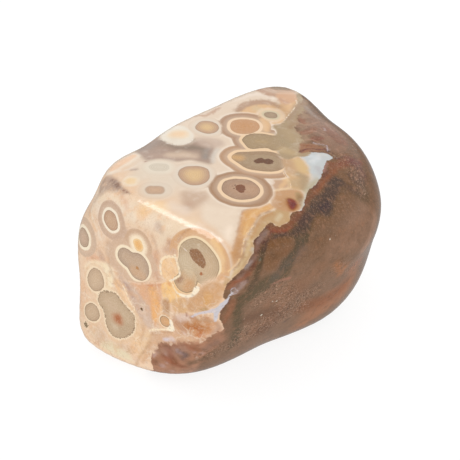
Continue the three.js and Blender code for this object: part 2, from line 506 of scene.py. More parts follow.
stain(blob((253, 249, 0.2), (252, 252, 0.15)), (206, 203, 194), 0.3, 0.9)
stain(line(0.16, (271, 211), (265, 213), (259, 216), (256, 222), (253, 228), (249, 234), (246, 241),
           (244, 249), (243, 256), (240, 262), (233, 270), (225, 278)), (170, 132, 98), 0.25, 0.75)
stain(area((271, 193), (279, 190.5), (290, 189.5), (297, 190), (303, 193), (304, 203), (301, 209),
           (292, 212), (280, 210), (274, 208), (270.5, 202)), (205, 165, 129), 0.35)
stain(blob((299, 199, 0.4), (298, 194, 0.3)), (180, 158, 122), 0.5, 0.85)
stain(blob((291.5, 205, 0.8), (292, 210, 0.5)), (186, 136, 98), 0.7, 0.9, rough=0.5)
stain(area((286.5, 199), (291, 198.3), (296, 201), (297.5, 205), (295, 209), (291.5, 210), (288.5, 206)),
      (142, 84, 48), 0.5, rough=0.5)
stain(blob((293, 204.5, 0.35)), (124, 80, 56), 0.5, 0.9, rough=0.5)
stain(area((284, 160), (291, 158), (299, 157), (304, 163), (309, 170), (308.5, 177), (307, 184), (304, 190),
           (296, 190), (290, 188), (290, 182), (285, 175), (284, 168)), (214, 180, 141), 0.6)
stain(blob((294, 184, 0.7), (299, 181, 0.6)), (196, 170, 136), 0.9, 0.8)
stain(blob((298, 174, 0.5), (305, 178, 0.6), (304, 188, 0.6)), (184, 162, 133), 0.9, 0.9)
stain(blob((300, 197, 0.4), (301.5, 204, 0.35)), (164, 134, 102), 0.6, 0.9)
stain(blob((299, 162, 0.7), (304, 170, 0.7)), (220, 190, 144), 0.9, 0.9)
stain(blob((286, 161, 0.8), (290, 170, 0.7)), (202, 169, 136), 1.0, 0.95)
stain(area((304, 150), (340, 148), (344, 165), (328, 176), (321, 190), (312, 196), (306, 208), (300, 214),
           (303, 202), (306, 192), (310, 184), (313, 178), (310, 172), (308, 165), (303, 159),
           (298, 153.5)), (203, 208, 209), 0.6, rough=3)
stain(blob((308, 156, 0.3), (318, 157, 0.4), (313, 162, 0.4)), (216, 222, 225), 0.7, 0.8, rough=3)
stain(blob((316, 176, 0.4), (312, 181, 0.3)), (206, 204, 198), 0.6, 0.8, rough=3)
stain(blob((306.5, 192, 0.35), (309, 188, 0.45), (313, 184, 0.4), (317, 180, 0.3)),
      (192, 180, 154), 0.8, 0.9)
stain(line(0.25, (302, 207.5), (303.8, 201), (305.5, 195), (306.5, 190)), (206, 194, 168), 0.35, 0.9)
stain(blob((318, 168, 0.4), (320, 174, 0.3)), (192, 190, 192), 0.7, 0.7)
stain(blob((297, 155, 0.2)), (178, 182, 140), 0.4, 0.6)

# the banded end
stain(blob((84, 214, 0.7), (88, 206, 0.4)), (216, 188, 164), 0.7, 0.8)
stain(line(0.3, (94, 203), (91.5, 212), (94, 222), (98, 231), (101, 240)), (244, 226, 202), 0.4, 0.9)
stain(blob((124, 233, 0.8), (118, 240, 0.6), (128, 240, 0.4)), (206, 176, 154), 0.6, 0.95)
stain(blob((110, 244, 0.5), (109, 254, 0.55), (112, 264, 0.5)), (212, 182, 158), 0.7, 0.9)
stain(blob((90, 257, 0.8), (100, 260, 0.6)), (230, 186, 156), 0.9, 0.95)
stain(blob((99, 252, 0.4), (102, 258, 0.5)), (206, 172, 150), 0.7, 0.9)
stain(blob((83, 282, 0.6), (84, 296, 0.8), (82, 308, 0.6)), (236, 196, 162), 0.9, 0.85)
stain(blob((86, 268, 0.3), (90, 264, 0.4), (97, 263, 0.45), (104, 266, 0.5), (107, 273, 0.4)),
      (250, 228, 194), 0.6, 0.9)
stain(area((103, 264), (110, 265), (114, 274), (113, 287), (108, 292), (103, 286), (104, 274)),
      (249, 231, 199), 0.6)
stain(blob((117, 284, 0.6), (121, 292, 0.45), (124, 300, 0.3)), (240, 196, 150), 0.7, 0.9)
stain(blob((118, 268, 0.5), (121, 277, 0.5)), (210, 184, 166), 0.7, 0.8)
stain(blob((156, 254, 0.5), (154, 266, 0.7), (157, 277, 0.5)), (219, 177, 149), 0.9, 0.95)
stain(blob((158, 227, 0.5), (161, 231, 0.3)), (206, 176, 152), 0.8, 0.7)
stain(blob((170, 243, 0.6), (174, 250, 0.6), (166, 250, 0.4)), (212, 172, 144), 0.8, 0.9)
stain(blob((168, 240, 0.2), (172, 244, 0.15)), (186, 140, 118), 0.4, 0.7, rough=3)
stain(area((162, 258), (168, 257), (174, 257.5), (177, 265), (179.5, 274), (174, 279), (168, 282),
           (163, 276), (161, 267)), (246, 207, 162), 0.3)
stain(area((131, 283), (148, 282), (160, 283), (163, 292), (160, 304), (158, 318), (153, 329), (145, 318),
           (140, 306), (134, 296)), (228, 181, 147), 0.5)
stain(blob((153, 291, 0.6), (156, 304, 0.6), (154, 318, 0.6)), (241, 184, 124), 0.8, 0.95)
stain(blob((146, 285, 0.12), (156, 285.5, 0.15), (164, 283, 0.12)), (214, 152, 114), 0.3, 0.8, rough=3)
stain(area((162, 284), (170, 281), (176, 286), (181, 295), (176, 301), (168, 303), (163, 297)),
      (250, 205, 143), 0.5)
stain(blob((169.5, 284, 0.25)), (226, 154, 98), 0.4, 0.8)
stain(area((121, 281), (127, 280), (132, 284), (138, 292), (144, 300), (150, 308), (152, 318), (154, 327),
           (148, 328), (143, 322), (138, 315), (134.5, 309), (132, 303), (129.5, 297), (128, 290),
           (124, 285)), (215, 186, 166), 0.7, rough=0.5)
stain(blob((125, 283, 0.2), (129, 289, 0.25), (133, 297, 0.2)), (188, 160, 150), 0.6, 0.85, rough=0.5)
stain(blob((143, 313, 0.4), (146, 318, 0.2)), (228, 204, 184), 0.6, 0.8)
stain(area((163, 300), (168, 299), (170, 306), (169, 316), (165, 316), (162, 309)),
      (192, 150, 114), 0.5, 0.9)
stain(blob((161.5, 306, 0.15), (161, 312, 0.15)), (244, 200, 150), 0.4, 0.8)
stain(area((172, 300), (184, 298), (188, 303), (187, 312), (177, 313), (173, 308)), (223, 183, 139), 0.4)
stain(blob((184, 306, 0.3)), (232, 204, 176), 0.5, 0.8)
stain(area((196, 293), (204, 286), (215, 282), (225, 286), (222, 299), (214, 306), (204, 311), (190, 312),
           (186, 303), (188, 299)), (212, 169, 129), 0.6)
stain(blob((208, 296, 0.5), (206, 304, 0.3)), (220, 170, 112), 0.7, 0.85)
stain(blob((206, 309.5, 0.25), (200, 310.5, 0.15)), (184, 148, 98), 0.3, 0.85)
stain(area((175, 314), (190, 315), (205, 316), (214, 320), (221, 329), (212, 334), (205, 339), (196, 344),
           (184, 345), (176, 336), (172, 323)), (214, 176, 150), 0.5)
stain(blob((216, 323, 0.4), (220, 328, 0.4), (213, 333, 0.3)), (186, 152, 130), 0.8, 0.9)
stain(blob((180, 318, 0.6), (187, 318, 0.5)), (228, 203, 188), 0.6, 0.9)
stain(blob((187, 313.5, 0.12), (186.5, 316, 0.12)), (176, 128, 112), 0.25, 0.8)
stain(line(0.3, (190, 318), (194, 316), (200, 316.5), (208, 318)), (178, 124, 98), 0.35, 0.85)
stain(area((183, 325), (194, 320), (206, 319), (214, 323), (211, 331), (204, 337), (196, 337), (190, 331)),
      (207, 150, 104), 1.1, rough=1.5)
stain(blob((198, 319, 0.3), (206, 320, 0.35), (212, 322, 0.3)), (186, 144, 110), 0.7, 0.85)
stain(blob((190, 328, 0.3), (198, 329, 0.5), (200, 335, 0.4)), (192, 118, 76), 1.0, 0.9, rough=1.5)
stain(blob((196, 341, 0.3), (204, 339, 0.3)), (188, 144, 114), 0.6, 0.9)
stain(area((150, 333), (158, 331.5), (172, 332), (186, 336), (200, 342), (190, 346), (172, 344), (158, 345),
           (152, 352), (146, 362), (141, 362), (146, 346)), (219, 181, 150), 0.5)
stain(line(0.22, (149, 337), (153, 333.5), (160, 332), (172, 332)), (190, 146, 114), 0.35, 0.85)
stain(blob((165, 340, 0.3), (172, 339.5, 0.42)), (222, 212, 218), 0.5, 0.95)
stain(blob((184, 333, 0.15), (186, 335, 0.1)), (236, 214, 198), 0.3, 0.8)
stain(blob((96, 334, 1.0), (106, 343, 0.8)), (224, 200, 172), 1.4, 0.8)
stain(blob((112, 348, 0.9), (126, 356, 0.9), (104, 346, 0.6)), (231, 218, 186), 1.2, 0.9)
stain(blob((139, 342, 0.6), (134, 350, 0.6), (140, 330, 0.4)), (240, 200, 158), 0.9, 0.9)
stain(line(0.3, (144, 327), (143, 336), (141, 342)), (206, 164, 130), 0.6, 0.7)
stain(line(0.45, (120, 287), (124, 293), (127, 300), (131, 307)), (249, 212, 172), 0.4, 0.9, rough=0.5)
stain(line(0.3, (152, 236), (156, 246), (157, 257), (155, 268), (158, 278)),
      (206, 168, 144), 0.6, 0.6, rough=2)
stain(line(0.35, (108, 262), (112, 274), (117, 283), (123, 289)), (204, 172, 150), 0.5, 0.6, rough=2)
stain(blob((98, 328, 0.3), (102, 334, 0.5), (99, 341, 0.4)), (214, 182, 156), 0.8, 0.7, rough=2)
stain(blob((148, 334, 0.5), (144, 345, 0.5), (140, 356, 0.4)), (243, 211, 172), 0.9, 0.7, rough=2)
stain(blob((137, 322, 0.3), (140, 332, 0.35), (136, 340, 0.3)), (250, 220, 184), 0.6, 0.8, rough=2)
stain(blob((120, 345, 0.35), (130, 350, 0.4)), (212, 180, 150), 0.8, 0.6, rough=2)
stain(line(0.3, (84, 330), (92, 340), (104, 350), (118, 357), (130, 361)),
      (238, 208, 172), 0.7, 0.6, rough=2)
stain(line(0.3, (150, 342), (145, 350), (139, 358), (136, 366)), (198, 158, 122), 0.5, 0.85)


def mottle(distance, colour, soft, strength, rough=3):
    """A stain on the brown stone, where edges are more frayed."""
    stain(distance, colour, soft, strength, (flank,), rough)


# the olive zone beyond the eyes, and the pinkish brown next to it
mottle(blob((318, 125, 2.2), (335, 145, 1.6)), (156, 126, 108), 2.0, 0.95)
mottle(blob((302, 100, 0.8), (304, 112, 0.6), (303, 122, 0.5), (305, 138, 0.6), (303, 144, 0.4)),
       (172, 146, 122), 1.0, 0.9)
mottle(line(0.25, (300, 117), (308, 118), (316, 116)), (168, 138, 120), 0.5, 0.7)
mottle(line(0.2, (304, 128), (313, 125), (321, 126)), (168, 140, 122), 0.4, 0.7)
stain(area((297, 94), (298, 104), (294, 110), (288, 117), (283, 122), (280, 124.5), (275, 124.8),
           (270.5, 127), (274, 129), (276, 131.5), (275, 135), (266, 136), (268, 150), (276, 153),
           (286, 159), (296, 157), (312, 150), (312, 96)), (178, 157, 128), 0.2)
stain(blob((284, 150, 0.7), (293, 153, 0.6)), (196, 172, 136), 1.0, 0.9)
stain(line(0.12, (280, 124.5), (275, 125), (271, 127)), (150, 122, 98), 0.25, 0.85, rough=0)
stain(line(0.1, (297.5, 104), (293.5, 110.5), (288, 117), (283, 122)), (152, 118, 96), 0.2, 0.6, rough=2)
stain(blob((289, 119, 0.4), (294, 112, 0.5), (300, 104, 0.5)), (174, 150, 127), 0.8, 0.8)
stain(blob((287, 131, 0.6), (293, 140, 0.5)), (186, 164, 132), 1.0, 0.7)
stain(blob((299, 121, 0.4), (299, 132, 0.4)), (164, 128, 106), 0.6, 0.7, rough=3)
mottle(blob((301.5, 120.5, 0.5), (304, 123, 0.3)), (156, 110, 90), 0.35, 0.95, 2)
mottle(blob((304, 133, 0.5), (309, 131, 0.55), (316, 128, 0.4)), (156, 114, 94), 0.35, 0.95, 2)
mottle(blob((315, 139, 0.5), (322, 138, 0.4)), (148, 101, 86), 0.4, 0.95, 2)
mottle(blob((325, 128, 0.6), (334, 134, 0.9), (342, 142, 0.8)), (146, 104, 88), 0.8, 0.8)
for fibre in (
        ((299, 121), (306, 119), (314, 120), (322, 124)), ((302, 126), (310, 127), (318, 131), (325, 136)),
        ((303, 131), (311, 134), (318, 137)), ((303, 136), (312, 137), (322, 142), (330, 147)),
        ((306, 114), (313, 112), (320, 115)), ((318, 128), (328, 133), (337, 142), (343, 150)),
        ((322, 120), (330, 127), (339, 134))):
    mottle(line(0.16, *fibre), (124, 92, 78), 0.25, 0.7, 4)
for fibre in (
        ((297, 124), (305, 123), (313, 125), (321, 129)), ((303, 133.5), (312, 131), (320, 133), (329, 139)),
        ((304, 140), (313, 140), (322, 145)), ((314, 117), (323, 121), (332, 130), (340, 139)),
        ((326, 141), (335, 147), (342, 156))):
    mottle(line(0.14, *fibre), (186, 150, 130), 0.2, 0.6, 4)
mottle(line(0.2, (296, 127), (304, 126), (311, 124), (320, 121.5)), (188, 152, 128), 0.3, 0.5, 1)
mottle(line(0.16, (303, 117), (310, 121), (317, 126)), (176, 144, 126), 0.3, 0.4, 1)
stain(blob((290, 128, 0.3), (296, 122, 0.35), (299, 115, 0.3)), (168, 140, 112), 0.6, 0.7, rough=3)
stain(blob((282, 140, 0.4), (290, 146, 0.4)), (176, 158, 128), 0.8, 0.7, rough=3)
mottle(line(0.2, (311, 142), (316, 144), (323, 145), (327, 147.5), (329, 151)),
       (192, 178, 176), 0.2, 0.8, 1)
mottle(blob((324, 128, 0.12), (325.5, 130.5, 0.1)), (196, 186, 186), 0.25, 0.7, 1)
mottle(blob((306, 109, 0.3), (312, 114, 0.3), (318, 118, 0.2)), (168, 152, 142), 0.5, 0.7)
stain(area((300, 144), (310, 144), (320, 146), (326, 149), (320, 151.5), (310, 151.5), (301, 153)),
      (166, 124, 98), 0.3, 0.95, both)
stain(line(0.3, (300, 152), (305, 149.5), (312, 148.8), (319, 149.5), (326, 149)),
      (118, 76, 62), 0.25, 0.9, both)
stain(line(0.16, (303, 145.5), (311, 146), (320, 147)), (134, 88, 70), 0.2, 0.9, both)
mottle(line(0.14, (326, 151.3), (331, 152.3), (334.5, 154.5)), (92, 64, 56), 0.15, 0.9, 1)
mottle(line(0.14, (333, 158), (338, 158.5), (345, 156.5)), (98, 74, 62), 0.2, 0.8, 2)
mottle(blob((345.5, 155.5, 0.15)), (88, 74, 70), 0.3, 0.8, 1)
mottle(blob((306, 107, 0.3), (311, 112, 0.25)), (176, 162, 150), 0.5, 0.7, 1)
mottle(blob((312, 106, 0.35), (320, 113, 0.4), (330, 121, 0.3)), (118, 104, 90), 0.6, 0.8, 2)

# the brown flank
mottle(blob((352, 236, 2.2), (366, 214, 1.6), (336, 246, 1.5)), (152, 121, 102), 2.5, 0.95)
mottle(blob((328, 300, 2.0), (310, 314, 1.6), (344, 288, 1.3)), (158, 113, 86), 3.0, 0.95, 2)
mottle(blob((356, 264, 0.8), (350, 280, 0.9), (340, 297, 0.9), (322, 310, 0.9), (298, 326, 0.8)),
       (164, 114, 83), 2.2, 0.85, 5)
mottle(blob((364, 249, 0.8), (371, 236, 0.9), (375, 218, 0.7)), (170, 134, 112), 1.3, 0.9, 2)
mottle(blob((300, 284, 1.5), (272, 302, 1.5), (320, 268, 1.2), (254, 330, 1.2)),
       (138, 104, 82), 2.5, 0.85, 4)
mottle(blob((338, 166, 0.7), (350, 160, 0.7), (360, 162, 0.5)), (140, 94, 70), 0.8, 0.9, 4)
mottle(blob((352, 176, 0.9), (362, 186, 1.0), (366, 199, 0.7), (348, 187, 0.7)), (106, 88, 70), 1.2, 0.85)
mottle(blob((331, 163, 0.3), (333, 171, 0.5), (327, 178, 0.5), (321, 186, 0.5), (314, 192, 0.45),
            (308, 199, 0.35), (303, 208, 0.35), (297, 216, 0.45), (291, 224, 0.4), (283, 229, 0.4),
            (274, 228, 0.4), (267, 226, 0.2)), (140, 97, 75), 0.5, 0.85, 4)
mottle(blob((340, 167, 0.3), (333, 173, 0.2), (322, 185, 0.3), (313, 193, 0.2)),
       (152, 103, 78), 0.6, 0.7, 5)
mottle(blob((328, 171, 0.2), (318, 183, 0.2), (309, 195, 0.15), (300, 211, 0.2)),
       (112, 84, 70), 0.5, 0.7, 6)
mottle(blob((284, 232, 0.15), (274, 231.5, 0.2), (268, 229, 0.15)), (148, 92, 70), 0.3, 0.8)
mottle(blob((326, 163, 0.2), (323.5, 171, 0.2)), (176, 138, 130), 0.3, 0.85, 1)
mottle(area((336, 176), (344, 182), (340, 192), (335, 201), (333, 212), (327, 218), (318, 215), (313, 222),
            (310, 232), (308, 243), (300, 248), (296, 257), (292, 268), (287, 277), (275, 285), (265, 291),
            (252, 300), (243, 307), (243, 320), (241, 335), (235, 344), (228, 350), (232, 330), (232, 316),
            (233, 303), (241, 295), (253, 287), (262, 279), (272, 274), (279, 267), (283, 259), (290, 252),
            (295, 244), (293, 238), (287, 235), (292, 229), (298, 221), (303, 214), (308, 206), (314, 198),
            (321, 193), (325, 186), (330, 179)), (94, 84, 67), 0.9, 0.95)
mottle(blob((328, 205, 0.5), (322, 208, 0.5)), (86, 78, 62), 0.7, 0.9, 2)
mottle(blob((286, 234, 0.3), (277, 236, 0.35), (270, 242, 0.4), (264, 250, 0.45), (261, 259, 0.5),
            (259, 268, 0.45), (256, 278, 0.55), (250, 289, 0.6)), (94, 82, 68), 0.5, 0.9, 2)
mottle(area((269, 241), (280, 238), (293, 239), (294, 246), (288, 254), (281, 260), (277, 270), (266, 270),
            (264, 262), (266, 252)), (132, 101, 79), 0.4, 0.95, 2)
mottle(blob((264, 235, 0.5), (258, 243, 0.4), (254, 258, 0.3), (247, 269, 0.5), (241, 280, 0.7),
            (233, 287, 0.6)), (144, 116, 106), 0.5, 0.95, 2)
mottle(blob((267, 231, 0.25), (262, 236, 0.3), (257, 243, 0.2)), (152, 130, 124), 0.4, 0.8, 2)
mottle(blob((244, 283, 0.5), (240, 288, 0.4), (235, 292, 0.4)), (170, 148, 142), 0.5, 0.8)
mottle(blob((233, 283, 0.4), (229, 288, 0.3)), (150, 104, 82), 0.5, 0.9)
mottle(line(0.16, (270, 226), (264.5, 229), (259, 235), (255, 241), (254.5, 247), (255, 253), (251, 260),
            (247, 266), (243, 272), (237, 277), (231, 282), (226.5, 287)), (96, 72, 64), 0.25, 0.75)
mottle(line(0.2, (272, 232), (268, 238), (262, 243), (259, 250), (257, 257), (256, 263), (251, 268),
            (247, 274), (248, 279), (246, 286), (242, 293), (234, 297)), (98, 76, 68), 0.3, 0.8)
mottle(line(0.3, (272, 230.5), (279, 231), (286, 230), (291, 227)), (150, 96, 70), 0.4, 0.85, 2)
mottle(blob((246, 267, 0.25), (250, 263, 0.15)), (182, 170, 166), 0.3, 0.8, 2)
mottle(blob((248, 274, 0.4), (243, 279, 0.3), (236, 282, 0.25)), (150, 98, 78), 0.5, 0.8)
mottle(blob((252, 268, 0.35), (256, 262, 0.3)), (120, 84, 72), 0.4, 0.8)
mottle(blob((337, 264, 0.5), (341, 273, 0.5), (346, 265, 0.3)), (162, 110, 76), 1.4, 0.9, 5)
mottle(blob((350, 270, 0.4), (356, 264, 0.5), (362, 258, 0.4)), (150, 100, 74), 1.2, 0.9, 5)
mottle(blob((345, 280, 0.5), (352, 276, 0.3)), (138, 100, 78), 1.0, 0.8, 5)
mottle(blob((273, 284, 0.15), (281, 280, 0.2), (290, 278, 0.15)), (172, 122, 104), 0.5, 0.8, 2)
mottle(area((149, 352), (157, 343), (172, 341), (188, 340), (204, 339), (214, 334), (222, 331), (224, 340),
            (214, 350), (203, 361), (186, 378), (160, 378), (148, 366)), (172, 129, 106), 1.2, 0.95)
mottle(blob((206, 349, 0.6), (216, 342, 0.6)), (148, 117, 102), 1.0, 0.85)
mottle(blob((165, 357, 0.5), (172, 362, 0.6), (170, 348, 0.3)), (156, 100, 78), 0.9, 0.85, 4)
mottle(blob((190, 347, 0.4), (198, 350, 0.3)), (160, 104, 80), 0.8, 0.8, 4)
mottle(blob((179, 352, 0.35), (186, 355, 0.5), (183, 359, 0.3)), (126, 103, 99), 0.7, 0.9)
mottle(blob((177, 350, 0.2), (181, 354, 0.2)), (172, 146, 142), 0.4, 0.8)
mottle(blob((156, 351.5, 0.35), (153, 356, 0.15)), (206, 180, 172), 0.5, 0.85, 2)
for spot in ((166, 354, 0.2), (162.5, 366, 0.4), (167, 363, 0.15), (172, 371, 0.2), (201, 354, 0.3),
             (195, 352, 0.15)):
    mottle(blob(spot), (186, 158, 152), 0.6, 0.7)
mottle(blob((196.5, 357, 0.1), (197, 361, 0.12)), (192, 166, 150), 0.25, 0.8)
mottle(blob((172, 357, 0.4), (176, 364, 0.5), (184, 367, 0.4)), (140, 92, 72), 0.8, 0.8, 4)
mottle(blob((155, 362, 0.3)), (150, 104, 84), 0.5, 0.8)
mottle(blob((192, 363, 0.5), (206, 357, 0.5), (214, 351, 0.4)), (122, 98, 80), 0.9, 0.85)
mottle(blob((233, 302, 0.45), (231, 309, 0.4), (227, 316, 0.4), (224, 323, 0.3)), (148, 104, 82), 0.6, 0.9)
mottle(line(0.16, (231, 297.5), (227.5, 303), (222, 309), (220.5, 316)), (104, 82, 88), 0.25, 0.8, 2)
mottle(blob((233.7, 291, 0.14)), (118, 124, 120), 0.15, 0.9, 0)
mottle(blob((260, 260, 0.14)), (132, 138, 126), 0.25, 0.8, 0)
mottle(blob((285, 321, 0.3), (290, 318, 0.15)), (92, 80, 74), 0.4, 0.8, 2)
mottle(blob((297, 297, 0.18)), (96, 78, 72), 0.3, 0.8, 2)

# the two parts run into each other along the lower border
stain(line(0.7, (156, 352), (162, 345), (172, 343.5), (182, 342), (192, 343.5), (203, 341), (212, 335.5),
           (221, 331)), (190, 146, 120), 0.9, 0.75, both, rough=3)
stain(blob((160, 347, 0.2), (170, 345.5, 0.25), (184, 345, 0.2), (200, 345, 0.2)),
      (150, 104, 84), 0.5, 0.7, both, rough=4)

# faint broad washes over the finished grounds
for spots, colour, share in (
        (((278, 106, 0.9), (284, 114, 0.8)), (176, 140, 104), 0.43),
        (((176, 150, 0.8), (186, 148, 0.8)), (140, 124, 110), 0.15),
        (((112, 208, 1.0), (130, 212, 1.1), (142, 214, 0.9), (156, 226, 0.8)), (246, 234, 222), 0.2),
        (((280, 205, 0.7), (286, 200, 0.6)), (160, 112, 64), 0.17),
        (((220, 308, 0.7), (216, 316, 0.6)), (130, 112, 104), 0.2),
        (((98, 206, 0.7), (102, 222, 0.8), (100, 236, 0.6)), (240, 226, 212), 0.4),
        (((172, 206, 0.8), (184, 211, 0.8)), (240, 228, 216), 0.45),
        (((222, 246, 0.7), (224, 262, 0.8), (220, 276, 0.6)), (228, 166, 112), 0.35),
        (((241, 244, 0.6), (238, 256, 0.6)), (178, 140, 112), 0.4),
        (((178, 326, 0.9), (192, 328, 0.9), (204, 327, 0.8)), (172, 118, 80), 0.45),
        (((194, 322, 0.8), (206, 330, 0.8)), (150, 96, 56), 0.14),
        (((140, 322, 0.8), (140, 334, 0.8)), (206, 164, 124), 0.3)):
    stain(blob(*spots), colour, 1.2, share)
for spots, colour, share in (
        (((336, 146, 0.8), (344, 152, 0.8)), (104, 74, 58), 0.17),
        (((356, 164, 1.0), (364, 176, 0.9)), (94, 64, 46), 0.52),
        (((250, 318, 1.3), (268, 314, 1.5), (286, 310, 1.4), (262, 330, 1.2)), (94, 62, 46), 0.45),
        (((304, 306, 1.3), (322, 302, 1.3), (342, 288, 1.1)), (134, 74, 42), 0.5),
        (((302, 248, 1.0), (284, 266, 1.0), (276, 276, 0.8)), (116, 114, 118), 0.2),
        (((292, 288, 1.2), (306, 292, 1.2)), (94, 62, 46), 0.2),
        (((250, 334, 1.0), (268, 328, 1.0)), (94, 62, 46), 0.18),
        (((214, 348, 0.9), (226, 346, 0.8)), (98, 74, 62), 0.18),
        (((304, 214, 0.5), (298, 220, 0.5)), (96, 70, 50), 0.25),
        (((166, 352, 0.8), (182, 350, 0.9)), (165, 150, 148), 0.22),
        (((218, 306, 0.8), (222, 330, 0.9), (214, 340, 0.7)), (112, 82, 66), 0.3)):
    mottle(blob(*spots), colour, 2.0, share, 2)

# how speckled the brown stone is: least in the green-grey trails and at the smooth far end, most low down
lower_flank = np.minimum(
    blob((262, 298, 1.2), (276, 288, 1.2), (292, 304, 1.5), (316, 290, 0.8)),
    blob((246, 330, 1.2), (276, 318, 1.5), (300, 306, 1.2), (206, 355, 0.8)))
speckled = np.minimum.reduce([
    lower_flank,
    blob((345, 160, 0.8), (357, 175, 0.9), (363, 192, 0.5)),
    blob((338, 266, 0.7), (352, 268, 0.7)),
])
speckle = 0.4 + 0.8 * smooth_step(1.2, -0.6, speckled + 4 * grit)
speckle += 0.6 * smooth_step(1.2, -0.6, lower_flank + 4 * grit)

# The orbs
# Each orb is quartz that grew outwards from a seed as a ball of fine fibres, so the polished surface cuts it
# as a disc. Outside the disc lie a cream ring and a soft tan band, which join where two orbs meet.
GOLD = (197, 165, 141)
GOLD_HEART = (228, 196, 152)
TAUPE = (176, 148, 128)
TAUPE_WARM = (190, 158, 134)
OLIVE = (172, 150, 122)
ORANGE = (206, 163, 128)
CREAM_RING = (246, 224, 194)
BAND = (192, 162, 140)

orb_distances = []
orb_claims = []
orb_layers = []


def orb(distance, disc, heart=None, size=1.5, cream=0.3, band=0.75, ring_tone=CREAM_RING, band_tone=BAND,
        strength=1.0, soft=0.0, ragged=0.0, rim=0.35, claim=0.0):
    """One orb: its disc's colour at the edge and at the heart, size mm in, and the widths in mm of its cream
    ring and tan band. claim is how many mm nearer than it is the orb counts as being, beside others."""
    heart = disc if heart is None else heart
    share = smooth_step(0, 1, -distance / size)[:, None]
    disc_layer = shown(*disc) + share * (shown(*heart) - shown(*disc))
    orb_distances.append(distance)
    orb_claims.append(claim)
    orb_layers.append((disc_layer, shown(*ring_tone), shown(*band_tone), (cream, band, strength),
                       (soft, ragged, rim)))


# on the crown
orb(area((178, 174.5), (180, 169.5), (186, 166.6), (194, 166), (202, 166.7), (208, 169.5), (209.7, 174),
         (209, 179), (204, 183.5), (195, 185.4), (187, 183.8), (181, 179.5)), GOLD, GOLD_HEART, 1.5,
    cream=0.5, band=0.4, strength=0.12, ring_tone=(231, 218, 202), soft=1.0, rim=0.6)
orb(blob((206.9, 127.2, 1.5)), GOLD, GOLD_HEART, 1.3, cream=0.5, band=0.4, strength=0.12,
    ring_tone=(231, 218, 202), soft=1.0, rim=0.7)
orb(blob((239.5, 188.8, 2.2), (241.5, 188.8, 2.2)), TAUPE, TAUPE_WARM, 1.5, cream=0.48, band=1.05,
    ring_tone=(243, 214, 181), band_tone=(176, 143, 117), rim=0.6, claim=0.9)
orb(area((231.3, 156.8), (235, 153.3), (240, 152), (250, 151.6), (260, 151.2), (268, 151.4), (275, 152.8),
         (281, 155.5), (285, 160), (285.5, 165), (283, 168.5), (277, 171), (268, 171.6), (258, 170.7),
         (249, 169.2), (243.5, 166.8), (238, 163), (233.5, 160)), (172, 147, 122), (178, 156, 130), 1.2,
    cream=0.5, band=1.0, ring_tone=(244, 213, 178), band_tone=(190, 155, 127), claim=0.9)
orb(area((230, 126.5), (231.5, 122), (236, 119.8), (243, 119.2), (250, 119.7), (256, 121.5), (259.5, 125),
         (259.3, 128.5), (256, 131.5), (250, 133.5), (243, 134), (236, 132.8), (231.5, 130)), ORANGE,
    (206, 160, 120), cream=0.42, band=1.05, ring_tone=(243, 216, 186), band_tone=(182, 150, 126), rim=0.15,
    claim=0.9)
orb(area((242, 140), (244.5, 136.6), (250, 134.4), (258, 133.6), (266, 134.2), (273, 135.5), (281, 136),
         (285, 142), (281, 149), (273, 150.5), (268, 148.3), (260, 148.2), (253, 149), (248, 147.6),
         (245, 144.5)), OLIVE, (178, 156, 126), 1.0, cream=0.4, band=0.85, ring_tone=(240, 211, 176),
    band_tone=(182, 150, 126), rim=0.9, claim=0.9)
orb(blob((270, 115, 0.75), (272, 115, 0.75)), (170, 150, 128), (184, 162, 138), 0.8, cream=0.32, band=0.4,
    strength=0.3, ring_tone=(213, 200, 172), band_tone=(236, 208, 168), soft=0.5)
orb(blob((276, 88, 0.7), (284, 88.3, 0.75)), (168, 146, 124), cream=0.2, band=0.7,
    ring_tone=(196, 160, 134), band_tone=(190, 152, 126), strength=0.2, rim=0.3)
orb(blob((156, 167.2, 0.9), (162, 167.2, 0.9)), (222, 211, 194), cream=0.6, band=0.4, strength=0.1,
    ring_tone=(234, 224, 207), soft=1.8, rim=0.05)
orb(blob((152.5, 189.9, 0.85), (158, 189.9, 0.85)), (200, 172, 150), (210, 178, 152), 0.7, cream=0.5,
    band=0.4, strength=0.15, ring_tone=(229, 216, 199), soft=2.2, rim=0.3)

# on the banded end
orb(blob((110, 219, 1.1), (111.2, 221.6, 1.1)), (202, 168, 142), (212, 180, 152), 0.9, cream=0.36,
    band=0.85, ring_tone=(253, 241, 220), band_tone=(209, 180, 158), rim=0.5)
orb(blob((83, 237.3, 1.22)), (190, 166, 145), (208, 180, 158), 0.9, cream=0.42, band=0.9,
    ring_tone=(250, 236, 212), band_tone=(212, 186, 164), rim=0.5)
orb(area((122, 247.6), (118.6, 250.5), (117.7, 255), (119.5, 260), (123.5, 264.5), (127.5, 267.8),
         (130, 272), (133.5, 277), (139, 280.2), (144.5, 280.2), (148.3, 276), (149, 269.5), (147.3, 262.5),
         (143, 256.3), (137.5, 253), (133, 252.6), (130.5, 251.3), (127.5, 248.8)), (190, 166, 146),
    (204, 178, 154), 1.0, cream=0.4, band=0.95, ring_tone=(251, 234, 206), band_tone=(217, 187, 162),
    rim=0.6)
orb(blob((138, 244, 0.72), (138.8, 246, 0.72)), (248, 212, 160), (244, 192, 128), 0.5, cream=0.55,
    band=0.75, ring_tone=(252, 234, 206), band_tone=(211, 179, 152), soft=0.7, ragged=0.3, rim=0.0)
orb(area((93.5, 268), (89.5, 271.5), (87.6, 277.5), (88.5, 284), (92, 289.5), (97, 291.3), (101.5, 289.5),
         (104, 285), (103.3, 277.5), (100.5, 271.5), (97, 268.6)), (200, 174, 148), (212, 186, 158), 1.0,
    cream=0.3, band=0.4, band_tone=(232, 198, 162), strength=0.4, ragged=0.4, rim=0.6)
